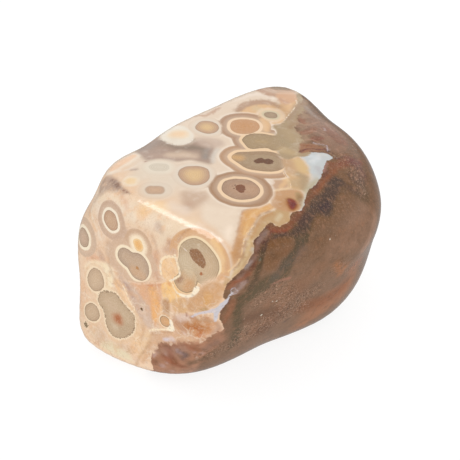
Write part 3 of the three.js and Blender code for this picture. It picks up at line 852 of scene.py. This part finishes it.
orb(area((90.5, 303), (86, 305.5), (84.6, 311), (86.5, 317), (91, 320.7), (96.5, 320.8), (99.8, 316),
         (98.3, 309.5), (95, 304.5)), (197, 171, 144), (210, 184, 156), 0.8, cream=0.22, band=0.4,
    band_tone=(232, 196, 160), strength=0.4, ragged=0.3, rim=0.7)
orb(area((103, 291), (99.5, 293.5), (98, 300), (100.5, 306), (103.5, 310), (105, 316), (106, 324),
         (109, 331), (113, 336), (120, 338.5), (128, 336.5), (133, 332), (134.8, 323), (134, 315),
         (130, 310.5), (125, 305), (121, 300), (118, 296), (115, 293), (110, 291.5)), (197, 172, 144),
    (208, 184, 156), 1.3, cream=0.24, band=0.5, band_tone=(234, 198, 160), strength=0.5, ragged=1.3,
    rim=1.0)
orb(area((192.4, 238), (186, 240.3), (181, 244.5), (179, 250.5), (178.7, 257), (177, 264), (178.5, 270),
         (181, 274), (188, 272.5), (194, 275), (197, 281), (203, 285), (210, 284.5), (215.5, 279),
         (218.5, 272), (219.3, 265), (217, 258), (212, 250.5), (205.5, 243.5), (199, 239.3)),
    (199, 175, 146), (212, 190, 162), 1.5, cream=0.28, band=1.05, ring_tone=(250, 228, 192),
    band_tone=(222, 178, 138), rim=0.6)
orb(area((179.5, 272), (175, 277.5), (174, 281), (177, 287), (181, 291), (187, 293), (193, 291),
         (196.5, 286), (197, 279), (196, 272), (190, 267), (183, 267)), (206, 174, 140), (216, 184, 150),
    0.8, cream=0.1, band=0.3, ring_tone=(246, 214, 170), band_tone=(238, 192, 142), strength=0.4, rim=0.9)
orb(blob((165, 321.5, 0.8)), (210, 170, 134), (220, 174, 130), 0.6, cream=0.12, band=0.3,
    band_tone=(236, 190, 146), strength=0.4, rim=0.8)
orb(blob((86, 325, 0.42)), (146, 128, 104), cream=0.1, band=0.3, strength=0.0, ragged=2.2, rim=0.0)

# The hidden sides carry more orbs of the same kinds, scattered with room between them.
HIDDEN_KINDS = [
    dict(disc=GOLD, heart=GOLD_HEART, cream=0.45, band=0.4, strength=0.15, soft=1.0, rim=0.6),
    dict(disc=TAUPE, heart=TAUPE_WARM, cream=0.35, band=0.8, rim=0.6),
    dict(disc=OLIVE, heart=TAUPE, cream=0.4, band=0.8, ragged=0.4),
    dict(disc=ORANGE, heart=GOLD, cream=0.3, band=0.8, band_tone=(208, 172, 146)),
    dict(disc=(205, 172, 148), heart=(240, 208, 160), cream=0.35, band=0.4, strength=0.3),
]
HIDDEN_RADII = [0.6, 0.8, 1.1, 1.5, 2.0, 2.5]     # mm
ROOM_BETWEEN = 0.7          # mm between two hidden orbs
ROOM_TO_FRONT = 0.9         # mm from a hidden orb, besides a fifth of its radius, to the part that shows
ROOM_TO_BORDER = 1.2        # mm from an orb's middle
TURNED_AWAY = -0.08         # how far a face looks away from the camera before an orb may lie there
DICE_SEED = 11
TRIES = 900
MOST_HIDDEN = 46
DOUBLED = 0.35              # the share of hidden orbs that are two grown together

dice = np.random.default_rng(DICE_SEED)
hidden = np.where((facing < TURNED_AWAY) & (border > ROOM_TO_BORDER))[0]
front = points[facing > 0][::5]
taken = []
for _ in range(TRIES):
    place = points[dice.choice(hidden)]
    radius = float(dice.choice(HIDDEN_RADII))
    if any(np.linalg.norm(place - other) < radius + size + ROOM_BETWEEN for other, size in taken):
        continue
    if np.linalg.norm(front - place, axis=1).min() < radius * 1.2 + ROOM_TO_FRONT:
        continue
    taken.append((place, radius))
    kind = HIDDEN_KINDS[int(dice.integers(len(HIDDEN_KINDS)))]
    knots = [(place, radius)]
    if dice.random() < DOUBLED:
        knots.append((place + dice.normal(0, 0.6 * radius, 3), radius * 0.7))
    orb(chain_distance(knots), size=radius, **kind)
    if len(taken) >= MOST_HIDDEN:
        break

# Orbs that touch share their rings: a soft least distance, with each orb's look weighted by its nearness.
JOIN = 0.10                 # mm over which the distances to two orbs run into each other
claims = np.array(orb_claims)[:, None]
near = np.array(orb_distances) - claims
weights = np.exp(-np.clip((near - near.min(0)) / JOIN, 0, 60))
orb_field = near.min(0) - JOIN * np.log(weights.sum(0))
weights /= weights.sum(0)
orb_field += (weights * claims).sum(0)
disc_colour, ring_colour, band_colour, ring_form, ring_look = (
    sum(weight[:, None] * np.atleast_2d(layers[part]) for weight, layers in zip(weights, orb_layers))
    for part in range(5)
)

# some orbs open into the stone beside them: there their rings fade out and the disc is like the ground
opening = np.minimum.reduce([
    blob((291, 172, 0.6), (291, 161, 1.0), (287, 148, 1.2), (284, 136, 1.0), (288, 124, 0.8)),
    blob((204, 290, 0.7), (214, 286, 0.9), (222, 280, 0.5)),
    blob((175, 252, 0.2), (173, 262, 0.4), (174, 270, 0.3)),
    blob((133, 286, 0.3), (142, 287, 0.35), (152, 284, 0.4), (158, 276, 0.3)),
])
opened = smooth_step(0.6, -0.2, opening)[:, None]
ring_form *= 1 - opened
ring_look *= 1 - opened
disc_colour += opened * (ground - disc_colour)
ring_colour += opened * (ground - ring_colour)

# colour inside the larger discs
within = (disc_colour,)
stain(blob((233, 157, 0.5), (240, 158, 0.6)), (212, 173, 128), 1.0, 0.95, within)
stain(blob((252, 189, 1.0), (254, 193, 0.6)), (196, 161, 134), 1.2, 0.7, within)
stain(line(0.14, (250, 155), (262, 153.8), (275, 156), (282, 160)), (160, 132, 108), 0.3, 0.6, within)
stain(blob((258, 141, 0.35), (266, 142, 0.3)), (188, 162, 124), 0.6, 0.6, within)
stain(blob((134, 271, 0.7), (142, 276, 0.7)), (214, 178, 146), 0.9, 0.8, within)
stain(blob((187, 246, 0.8), (195, 242, 0.6)), (196, 174, 146), 1.0, 0.7, within)
stain(blob((184, 260, 0.9), (189, 270, 0.8)), (214, 194, 166), 1.0, 0.9, within)
stain(blob((181, 278, 0.35), (178, 281, 0.3)), (166, 128, 104), 0.6, 0.8, within)
stain(blob((190, 284, 0.5), (186, 289, 0.4)), (214, 166, 122), 0.8, 0.8, within)
stain(blob((208, 262, 1.0), (206, 272, 0.8)), (212, 184, 152), 1.2, 0.7, within)
stain(blob((198.5, 245, 0.16)), (228, 214, 190), 0.3, 0.9, within)
stain(line(0.25, (186, 270), (192, 272.5), (195.5, 278), (196.5, 284)), (228, 205, 172), 0.3, 0.6, within)
stain(blob((168, 322, 0.3), (170, 319, 0.2)), (232, 180, 124), 0.5, 0.6, within)
stain(blob((122, 331, 0.8), (128, 326, 0.5)), (196, 172, 144), 1.0, 0.8, within)
stain(blob((117.5, 318.5, 0.8)), (196, 140, 106), 1.2, 1.0, within, 2)
stain(blob((118, 319, 0.45)), (178, 112, 80), 0.8, 0.9, within, 2)
stain(blob((113, 325, 0.3), (117, 328, 0.25)), (214, 194, 168), 0.4, 0.8, within, 3)
stain(blob((108, 302, 0.5), (114, 308, 0.5)), (212, 186, 160), 0.9, 0.7, within)
stain(blob((213, 241, 0.35), (219, 250, 0.4), (222, 260, 0.4), (221, 270, 0.4)),
      (244, 205, 154), 0.5, 0.95, onto=(band_colour,))
stain(line(0.2, (178, 241), (184, 233), (192, 228), (202, 226), (211, 230), (219, 237), (226, 247)),
      (188, 148, 120), 0.4, 0.8, onto=(band_colour,))
stain(blob((262, 119.5, 0.4), (266, 124, 0.6), (266, 130, 0.45)),
      (230, 192, 150), 0.6, 0.95, onto=(band_colour, ground))

# The orbs' seeds
# At the heart of some orbs the seed that they grew from is cut through too. It is a small dark or rusty
# grain with an uneven edge, of the same stone and level with the polish.


def nearest(forms):
    """The distance to the nearest of the forms, and that form's colour."""
    distances = [distance for distance, _ in forms]
    colours = np.array([shown(*colour) for _, colour in forms])
    return np.min(distances, axis=0), colours[np.argmin(distances, axis=0)]


core_field, core_colour = nearest([
    (area((253.5, 160.5), (257, 158.8), (261, 157.6), (264, 159.2), (269, 158.8), (274, 161), (273, 163.3),
          (268, 164.4), (263, 162.8), (258, 163.4), (255, 163)), (122, 94, 78)),
    (blob((232.6, 186, 0.12)), (122, 98, 86)),
    (blob((235, 185, 0.14)), (122, 98, 86)),
    (blob((234, 188.6, 0.12)), (128, 102, 88)),
    (area((236, 185.5), (239, 184.6), (243.5, 185), (245.5, 188), (244.5, 191.5), (241, 193), (237.5, 191),
          (235.5, 188.5)), (142, 102, 84)),
    (area((189.5, 250), (194, 248.5), (199, 250), (203.5, 256), (205.5, 263), (204, 268.5), (199.5, 266),
          (194.5, 262), (190.5, 256)), (164, 126, 98)),
    (blob((201.2, 273.8, 0.25)), (184, 122, 84)),
    (blob((137.5, 268.0, 0.22)), (196, 148, 104)),
    (blob((141.5, 309.0, 0.2)), (118, 98, 74)),
    (blob((175, 278, 0.12), (177, 276.5, 0.12)), (140, 112, 90)),
])

# The seams
# White and cream quartz filled the last cracks and gaps, as thin seams and crisp patches. It is one body
# with the stone and is polished with it. The same layer holds painted glints, pale specks on the brown stone
# for small highlights of the polish, and one painted highlight, a pale line along a small ridge at the big
# eye's left.
seam_and_glint_field, seam_and_glint_colour = nearest([
    (line(0.13, (283.3, 169), (283.6, 173), (286, 177.5), (289.5, 181.5), (291, 186), (290.5, 188)),
     (240, 208, 168)),
    (line(0.14, (254, 225), (251, 228), (247, 233), (244, 240), (242.5, 247), (242, 254), (239, 260),
          (234, 266), (228, 272)), (240, 206, 160)),
    (line(0.11, (295.5, 99), (297, 104), (294.5, 107.5), (292.5, 111), (289, 114.5), (286.5, 118),
          (284, 120.5)), (244, 226, 198)),
    (line(0.1, (166, 143), (178, 145), (188, 143), (193, 139.5)), (240, 236, 228)),
    (area((194, 288), (197, 286), (199.7, 287.8), (199, 291), (196, 294), (192, 297), (187, 297.4),
          (181, 296.2), (176, 292.5), (181, 293.8), (187, 295), (192, 293)), (254, 240, 214)),
    (line(0.26, (172.5, 284), (174.5, 289), (178, 293.5)), (252, 224, 182)),
    (blob((232, 293, 0.08), (229, 297.5, 0.16), (225, 302, 0.25), (221, 306, 0.3), (217, 310, 0.34),
          (216.5, 316, 0.26), (215.5, 321, 0.12)) + 2.5 * grit, (202, 199, 205)),
    (blob((219, 308.5, 0.2), (212, 311, 0.24), (205, 312.5, 0.18), (198, 313.5, 0.16),
          (191, 317, 0.1)) + 2 * grit, (212, 203, 206)),
    (blob((222, 304, 0.08), (217, 309.5, 0.14), (215.5, 314, 0.1)) + grit, (236, 236, 240)),
    (line(0.1, (229, 296.5), (232, 294.5), (235.5, 294), (237.5, 291.5), (236, 288.5), (233, 288),
          (231, 290.5), (232, 294)), (192, 184, 188)),
    # painted glints: pale specks for small highlights of the polish on the brown stone
    *((blob(spot), (232, 224, 202)) for spot in (
        (272.5, 301.5, 0.13), (276.5, 301.2, 0.13), (261.5, 315, 0.13), (330, 239, 0.1))),
    # more painted glints, smaller and greyer, for highlights of the polish on the brown stone
    *((blob(spot), (176, 152, 134)) for spot in (
        (335.5, 235, 0.08), (355, 242, 0.09), (357, 244, 0.07), (244, 319, 0.09), (364, 191, 0.08),
        (364, 194, 0.07), (335, 187, 0.07), (333, 184.5, 0.05), (275, 286, 0.06), (278, 284, 0.05),
        (280.5, 288, 0.07), (276.5, 289.5, 0.05), (272, 289, 0.06), (282, 293, 0.05), (280, 297.5, 0.07),
        (313, 291, 0.06), (317, 287.5, 0.06), (314.5, 277, 0.05), (198, 362, 0.08), (197, 357, 0.06),
        (312, 207, 0.05), (307, 232, 0.05), (351, 169, 0.06), (371, 174, 0.08), (352.5, 146, 0.09),
        (354.5, 148.5, 0.08), (356.5, 150, 0.07), (353, 143.5, 0.06), (368, 169.5, 0.06),
        (372.5, 178, 0.07), (374.5, 183, 0.06), (359, 172, 0.05), (352, 178, 0.06))),
    (line(0.07, (312, 141.7), (317, 143.6), (322, 144.2), (326.5, 144.7)), (204, 190, 198)),
    (line(0.13, (326.8, 145.5), (327.6, 148.5), (327.4, 151)), (186, 172, 180)),
    (line(0.05, (329.5, 153), (332.5, 154), (334.5, 156.3), (337, 158.3)), (188, 172, 150)),
    (line(0.16, (123, 286), (126, 292), (128, 298), (131, 303.5), (134, 307), (134, 310), (131, 312)),
     (252, 228, 194)),
    (line(0.24, (149, 331), (154, 329.5), (164, 329.5), (173, 330.5)), (251, 230, 198)),
    (area((169.5, 319), (171.5, 320), (173.5, 326), (174.5, 331), (170, 331), (166, 329.5), (169.5, 326)),
     (254, 241, 216)),
    (line(0.3, (161, 274), (160.5, 266), (162.5, 259), (168, 256.5), (174, 257)), (251, 229, 196)),
    (line(0.24, (175, 255), (177, 262), (179, 269), (179.5, 275), (175, 278.5), (170, 281)),
     (253, 234, 202)),
    (line(0.12, (128, 281), (140, 284), (150, 283), (160, 283), (166, 281)), (240, 206, 176)),
    # painted highlight: a pale line along a small ridge at the big eye's left
    (line(0.12, (175.5, 241.5), (181, 246), (187, 251)), (232, 208, 178)),
])

# The polish
# The whole pebble has one high tumbled polish over fine-grained quartz. The material reads the markings that
# the sections above laid on the surface, and adds grain, speckle and healed cracks that are finer still.
FINE_END_STARTS = -14.5     # mm along the stone, from where the banded end's finer grain begins
FINE_END_FULL = -16.5
RIDGE_TOP = 18.5            # mm above the table
RIDGE_FOOT = 16.5
ROUGHNESS = 0.17
IOR = 1.54                  # of quartz
SPECULAR = 0.25

# What the polish mirrors of the room, and how brightly the room lights the stone. Both are given for red,
# green and blue, and both are greatest where the stone faces up. Both are worked into the colours as painted
# light and shade in reverse: colours are darkened by what the polish mirrors, most where the stone faces up,
# and lightened where the stone faces down and gets less light.
GLEAM = np.array([0.024, 0.030, 0.033])
GLEAM_OF_TOP = 0.042        # what faces that look up mirror besides
LIGHT = np.array([1.0, 1.015, 1.035])
LIGHT_ON_TOP = 1.28
LIGHT_LOST_BELOW = 0.33     # how much less of it reaches faces that look down
DARKEST = 0.004             # the limits of a material colour
LIGHTEST = 0.9

facing_up = smooth_step(0.3, 0.8, normals[:, 2])[:, None]
facing_down = smooth_step(0.5, -0.5, normals[:, 2])[:, None]
gleam = GLEAM + GLEAM_OF_TOP * facing_up
light_level = LIGHT * (LIGHT_ON_TOP - LIGHT_LOST_BELOW * facing_down)


def painted(layer):
    """The material colours that look, in this light, like the layer's colours. This is painted light in
    reverse: darker by what the polish mirrors, most where the stone faces up, and lighter where the stone
    faces down and gets less light.
    """
    return np.clip((layer - gleam) / light_level, DARKEST, LIGHTEST)


MEAN_GLEAM = 0.035          # the same two for the stone as a whole
MEAN_LIGHT = 1.2


def tone(red, green, blue):
    """A material colour for the whole stone that looks much like the given 0 to 255 colour."""
    return np.maximum((shown(red, green, blue) - MEAN_GLEAM) / MEAN_LIGHT, DARKEST)


def store(name, kind, values):
    """Keeps one value for each vertex on the mesh, for the material to read."""
    layer = stone_mesh.attributes.new(name, kind, "POINT")
    if kind == "FLOAT":
        layer.data.foreach_set("value", values.astype(np.float32))
    elif kind == "FLOAT_VECTOR":
        layer.data.foreach_set("vector", values.astype(np.float32).ravel())
    else:
        full = np.ones((count, 4), np.float32)
        full[:, :3] = painted(values)
        layer.data.foreach_set("color", full.ravel())


for name, kind, values in (
        ("ground", "FLOAT_COLOR", ground), ("flank", "FLOAT_COLOR", flank),
        ("disc", "FLOAT_COLOR", disc_colour), ("ring", "FLOAT_COLOR", ring_colour),
        ("band", "FLOAT_COLOR", band_colour), ("ring_form", "FLOAT_VECTOR", ring_form),
        ("ring_look", "FLOAT_VECTOR", ring_look), ("orb", "FLOAT", orb_field),
        ("core", "FLOAT", core_field), ("core_colour", "FLOAT_COLOR", core_colour),
        ("seam", "FLOAT", seam_and_glint_field), ("seam_and_glint_colour", "FLOAT_COLOR", seam_and_glint_colour),
        ("border", "FLOAT", border), ("speckle", "FLOAT", speckle)):
    store(name, kind, values)

jasper = bpy.data.materials.new("jasper")
jasper.use_nodes = True
tree = jasper.node_tree
tree.nodes.clear()


def add(kind, **settings):
    """One node with its settings. One named in_ and a socket's name or number is that socket's value or
    its source."""
    node = tree.nodes.new("ShaderNode" + kind)
    for name, value in settings.items():
        if not name.startswith("in_"):
            setattr(node, name, value)
    for name, value in settings.items():
        if name.startswith("in_"):
            key = name[3:]
            socket = node.inputs[int(key)] if key.isdigit() else node.inputs[key]
            if isinstance(value, bpy.types.NodeSocket):
                tree.links.new(value, socket)
            else:
                socket.default_value = value
    return node


def math_node(operation, a, b=0.0, c=0.0):
    return add("Math", operation=operation, in_0=a, in_1=b, in_2=c).outputs[0]


def between(value, low, high, start=0.0, end=1.0):
    """start at low, end at high, smooth between them."""
    node = add("MapRange", interpolation_type="SMOOTHSTEP", in_0=value, in_1=low, in_2=high, in_3=start,
               in_4=end)
    return node.outputs[0]


def mixed(share, under, over):
    node = add("Mix", data_type="RGBA")
    for index, value in ((0, share), (6, under), (7, over)):
        if isinstance(value, bpy.types.NodeSocket):
            tree.links.new(value, node.inputs[index])
        elif index == 0:
            node.inputs[index].default_value = value
        else:
            node.inputs[index].default_value = (*value, 1)
    return node.outputs[2]


def kept(name, output="Fac"):
    return add("Attribute", attribute_name=name).outputs[output]


place = add("TexCoord").outputs["Object"]
along, _, height = add("SeparateXYZ", in_0=place).outputs


def grain(width_mm, detail=3.0, output="Fac"):
    """Noise from 0 to 1 with lumps about width mm across."""
    return add("TexNoise", in_Vector=place, in_Scale=1 / (width_mm * MM), in_Detail=detail).outputs[output]


orb_soft, orb_ragged, orb_rim = add("SeparateXYZ", in_0=kept("ring_look", "Vector")).outputs
cream_width, band_width, band_strength = add("SeparateXYZ", in_0=kept("ring_form", "Vector")).outputs
wobble = math_node("MULTIPLY_ADD", grain(0.55), 0.10, -0.05)
fray = math_node("SUBTRACT", grain(0.22, 2.0), 0.5)
fray = math_node("MULTIPLY", fray, math_node("MULTIPLY", orb_ragged, 0.55))
orb_edge = math_node("ADD", math_node("ADD", kept("orb"), wobble), fray)
outside_cream = math_node("SUBTRACT", orb_edge, cream_width)
along_band = math_node("DIVIDE", outside_cream, band_width)

# cream ground with faint clouds, and warmer, finer ones on the banded end
at_end = between(along, FINE_END_STARTS * MM, FINE_END_FULL * MM)
look = kept("ground", "Color")
look = mixed(between(grain(2.2, 3.0), 0.5, 0.75, 0.0, 0.14), look, tone(205, 178, 154))
look = mixed(between(grain(1.2, 4.0), 0.5, 0.8, 0.0, 0.2), look, tone(250, 238, 224))
for width, detail, low, most, colour in (
        (1.1, 2.0, 0.5, 0.4, (238, 190, 148)),
        (1.0, 3.0, 0.52, 0.3, (251, 230, 206)),
        (0.5, 4.0, 0.54, 0.28, (206, 162, 134))):
    share = math_node("MULTIPLY", at_end, between(grain(width, detail), low, 0.7, 0.0, most))
    look = mixed(share, look, tone(*colour))

# healed cracks on the banded end, in patches: pale threads, with tan ones between
stray = add("VectorMath", operation="MULTIPLY_ADD", in_0=grain(0.8, output="Color"), in_1=(0.9 * MM,) * 3,
            in_2=place).outputs[0]
below_ridge = between(height, RIDGE_TOP * MM, RIDGE_FOOT * MM)
for width, patch, most, colour in ((1.5, 1.9, 0.4, (252, 234, 208)), (1.1, 1.6, 0.4, (208, 164, 132))):
    cells = add("TexVoronoi", feature="DISTANCE_TO_EDGE", in_Vector=stray, in_Scale=1 / (width * MM))
    thread = math_node("MULTIPLY", between(cells.outputs["Distance"], 0.07, 0.015), at_end)
    thread = math_node("MULTIPLY", thread, below_ridge)
    thread = math_node("MULTIPLY", thread, between(grain(patch, 2.0), 0.48, 0.62, 0.0, most))
    look = mixed(thread, look, tone(*colour))

# the band: light tan next to the ring, darker at its outer edge, then a pale halo
band_shape = add("ValToRGB", in_0=math_node("MULTIPLY", along_band, 0.5))
stops = band_shape.color_ramp.elements
stops[0].position, stops[0].color = 0.0, (0.7, 0.7, 0.7, 1)
stops[1].position, stops[1].color = 0.54, (0, 0, 0, 1)
for position, value in ((0.2, 0.85), (0.36, 1.0), (0.47, 0.85)):
    stop = stops.new(position)
    stop.color = (value, value, value, 1)
in_band = math_node("MULTIPLY", band_shape.outputs[0], band_strength)
halo_edge = math_node("SUBTRACT", outside_cream, band_width)
halo = math_node("MULTIPLY", between(halo_edge, 0.55, 0.05), between(band_strength, 0.0, 0.5, 0.0, 0.5))
halo = math_node("MULTIPLY", halo, between(at_end, 0.0, 1.0, 1.0, 0.15))
look = mixed(halo, look, tone(238, 224, 207))
look = mixed(in_band, look, kept("band", "Color"))

# the cream ring, crisp round most orbs and misty round the gold ones
ring_blur = math_node("MULTIPLY_ADD", orb_soft, 0.4, 0.09)
in_ring = between(math_node("DIVIDE", outside_cream, ring_blur), 1.0, -1.0)
look = mixed(in_ring, look, kept("ring", "Color"))

# the disc, with a thin dark rim and faint growth lines
disc_blur = math_node("MULTIPLY_ADD", orb_soft, 0.06, 0.035)
in_disc = between(math_node("DIVIDE", orb_edge, disc_blur), 1.0, -1.0)
disc = kept("disc", "Color")
growth = math_node("MULTIPLY_ADD", grain(0.8), 5.0, math_node("MULTIPLY", orb_edge, 24.0))
growth = math_node("SINE", growth)
disc = mixed(between(growth, 0.2, 1.0, 0.0, 0.12), disc, tone(120, 98, 80))
disc = mixed(between(grain(0.45, 4.0), 0.45, 0.75, 0.0, 0.14), disc, tone(215, 192, 166))
rim = math_node("MULTIPLY", between(orb_edge, -0.17, -0.04, 0.0, 0.7), orb_rim)
disc = mixed(rim, disc, tone(128, 104, 82))
look = mixed(in_disc, look, disc)

# the seeds
core_edge = math_node("ADD", kept("core"), math_node("MULTIPLY_ADD", grain(0.22), 0.36, -0.18))
core_tone = kept("core_colour", "Color")
core_tone = mixed(between(grain(0.12), 0.45, 0.65, 0.0, 0.35), core_tone, tone(90, 66, 52))
look = mixed(between(core_edge, 0.06, -0.06), look, core_tone)

# fine grain, stronger on the banded end
fine_grain = math_node("MULTIPLY_ADD", at_end, 0.14, 0.03)
for width, low, colour in ((0.2, 0.46, (252, 238, 220)), (0.17, 0.48, (172, 140, 114))):
    share = math_node("MULTIPLY", between(grain(width), low, 0.72), fine_grain)
    look = mixed(share, look, tone(*colour))

# the brown stone, with its mottle and speckles
side = math_node("ADD", kept("border"), math_node("MULTIPLY_ADD", grain(0.5, 6.0), 0.5, -0.25))
brown = kept("flank", "Color")
brown = mixed(between(grain(1.3, 6.0), 0.46, 0.72, 0.0, 0.32), brown, tone(98, 81, 66))
brown = mixed(between(grain(0.9, 6.0), 0.5, 0.74, 0.0, 0.32), brown, tone(160, 116, 90))
for width, most, colour in (
        (0.6, 0.5, (104, 80, 64)), (0.45, 0.5, (164, 120, 94)), (0.25, 0.45, (90, 70, 58)),
        (0.3, 0.4, (170, 130, 104)), (0.18, 0.55, (190, 154, 128))):
    share = math_node("MULTIPLY", between(grain(width, 4.0), 0.52, 0.7, 0.0, most), kept("speckle"))
    brown = mixed(share, brown, tone(*colour))
look = mixed(between(side, 0.05, -0.05), look, brown)

# the seams, cloudy with paler and greyer quartz, and in the same layer the painted glints and the painted
# highlight line
seam_and_glint_edge = math_node("ADD", kept("seam"), math_node("MULTIPLY_ADD", grain(0.3, 4.0), 0.2, -0.1))
quartz = kept("seam_and_glint_colour", "Color")
quartz = mixed(between(grain(0.4, 4.0), 0.5, 0.72, 0.0, 0.6), quartz, tone(236, 226, 220))
quartz = mixed(between(grain(0.3, 4.0), 0.52, 0.7, 0.0, 0.5), quartz, tone(172, 156, 150))
look = mixed(between(seam_and_glint_edge, 0.09, -0.07), look, quartz)

polish = add("BsdfPrincipled", in_Roughness=ROUGHNESS, in_IOR=IOR)
polish.inputs["Specular IOR Level"].default_value = SPECULAR
tree.links.new(look, polish.inputs["Base Color"])
out = add("OutputMaterial")
tree.links.new(polish.outputs[0], out.inputs["Surface"])
stone_mesh.materials.clear()
stone_mesh.materials.append(jasper)

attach(stone, "root")
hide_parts("tumbled_stone")

# The table
# A plain white light table, as under a product photograph. It is faintly lit from below, so that shadows
# stay pale. It isn't part of the object.
FLOOR_HALF = 0.9            # metres
PAPER = (0.15, 0.15, 0.15, 1)
PAPER_GLOW = 0.86

floor_mesh = bpy.data.meshes.new("floor")
corners = [(x * FLOOR_HALF, y * FLOOR_HALF, 0) for x, y in ((-1, -1), (1, -1), (1, 1), (-1, 1))]
floor_mesh.from_pydata(corners, [], [(0, 1, 2, 3)])
floor = bpy.data.objects.new("floor", floor_mesh)
bpy.context.scene.collection.objects.link(floor)
paper = bpy.data.materials.new("white_paper")
paper.use_nodes = True
paper_look = paper.node_tree.nodes["Principled BSDF"]
for socket, value in (
        ("Base Color", PAPER), ("Roughness", 0.9), ("Specular IOR Level", 0.1),
        ("Emission Color", (1, 1, 1, 1)), ("Emission Strength", PAPER_GLOW)):
    paper_look.inputs[socket].default_value = value
floor_mesh.materials.append(paper)
floor.visible_glossy = False

# The light
# A white room all round, dimmer low down than overhead, and one softbox above and behind the stone, which
# draws the bright line along its ridge.
ROOM_DARK = 0.42
ROOM_BRIGHT = 1.35
SOFTBOX_WAY = Vector((0.09, 0.37, 0.89))
SOFTBOX_AWAY = 0.6          # metres from the stone
SOFTBOX_WIDTH = 0.19        # metres
SOFTBOX_DEPTH = 0.17
SOFTBOX_WATTS = 1.15

room = bpy.data.worlds.new("white_room")
room.use_nodes = True
room_light = room.node_tree.nodes["Background"]
room_light.inputs["Color"].default_value = (1, 1, 1, 1)
ray_way = room.node_tree.nodes.new("ShaderNodeTexCoord")
ray_parts = room.node_tree.nodes.new("ShaderNodeSeparateXYZ")
room_height = room.node_tree.nodes.new("ShaderNodeMapRange")
room.node_tree.links.new(ray_way.outputs["Generated"], ray_parts.inputs[0])
room.node_tree.links.new(ray_parts.outputs[2], room_height.inputs["Value"])
room.node_tree.links.new(room_height.outputs["Result"], room_light.inputs["Strength"])
for socket, value in (
        ("From Min", -0.1), ("From Max", 0.15), ("To Min", ROOM_DARK), ("To Max", ROOM_BRIGHT)):
    room_height.inputs[socket].default_value = value
bpy.context.scene.world = room
bpy.context.scene.view_settings.view_transform = "Standard"

softbox_data = bpy.data.lights.new("softbox", "AREA")
softbox_data.shape = "RECTANGLE"
softbox_data.size = SOFTBOX_WIDTH
softbox_data.size_y = SOFTBOX_DEPTH
softbox_data.energy = SOFTBOX_WATTS
softbox = bpy.data.objects.new("softbox", softbox_data)
softbox.visible_diffuse = False
softbox.location = LOOK_AT + SOFTBOX_WAY.normalized() * SOFTBOX_AWAY
softbox.rotation_euler = SOFTBOX_WAY.to_track_quat("Z", "Y").to_euler()
bpy.context.scene.collection.objects.link(softbox)
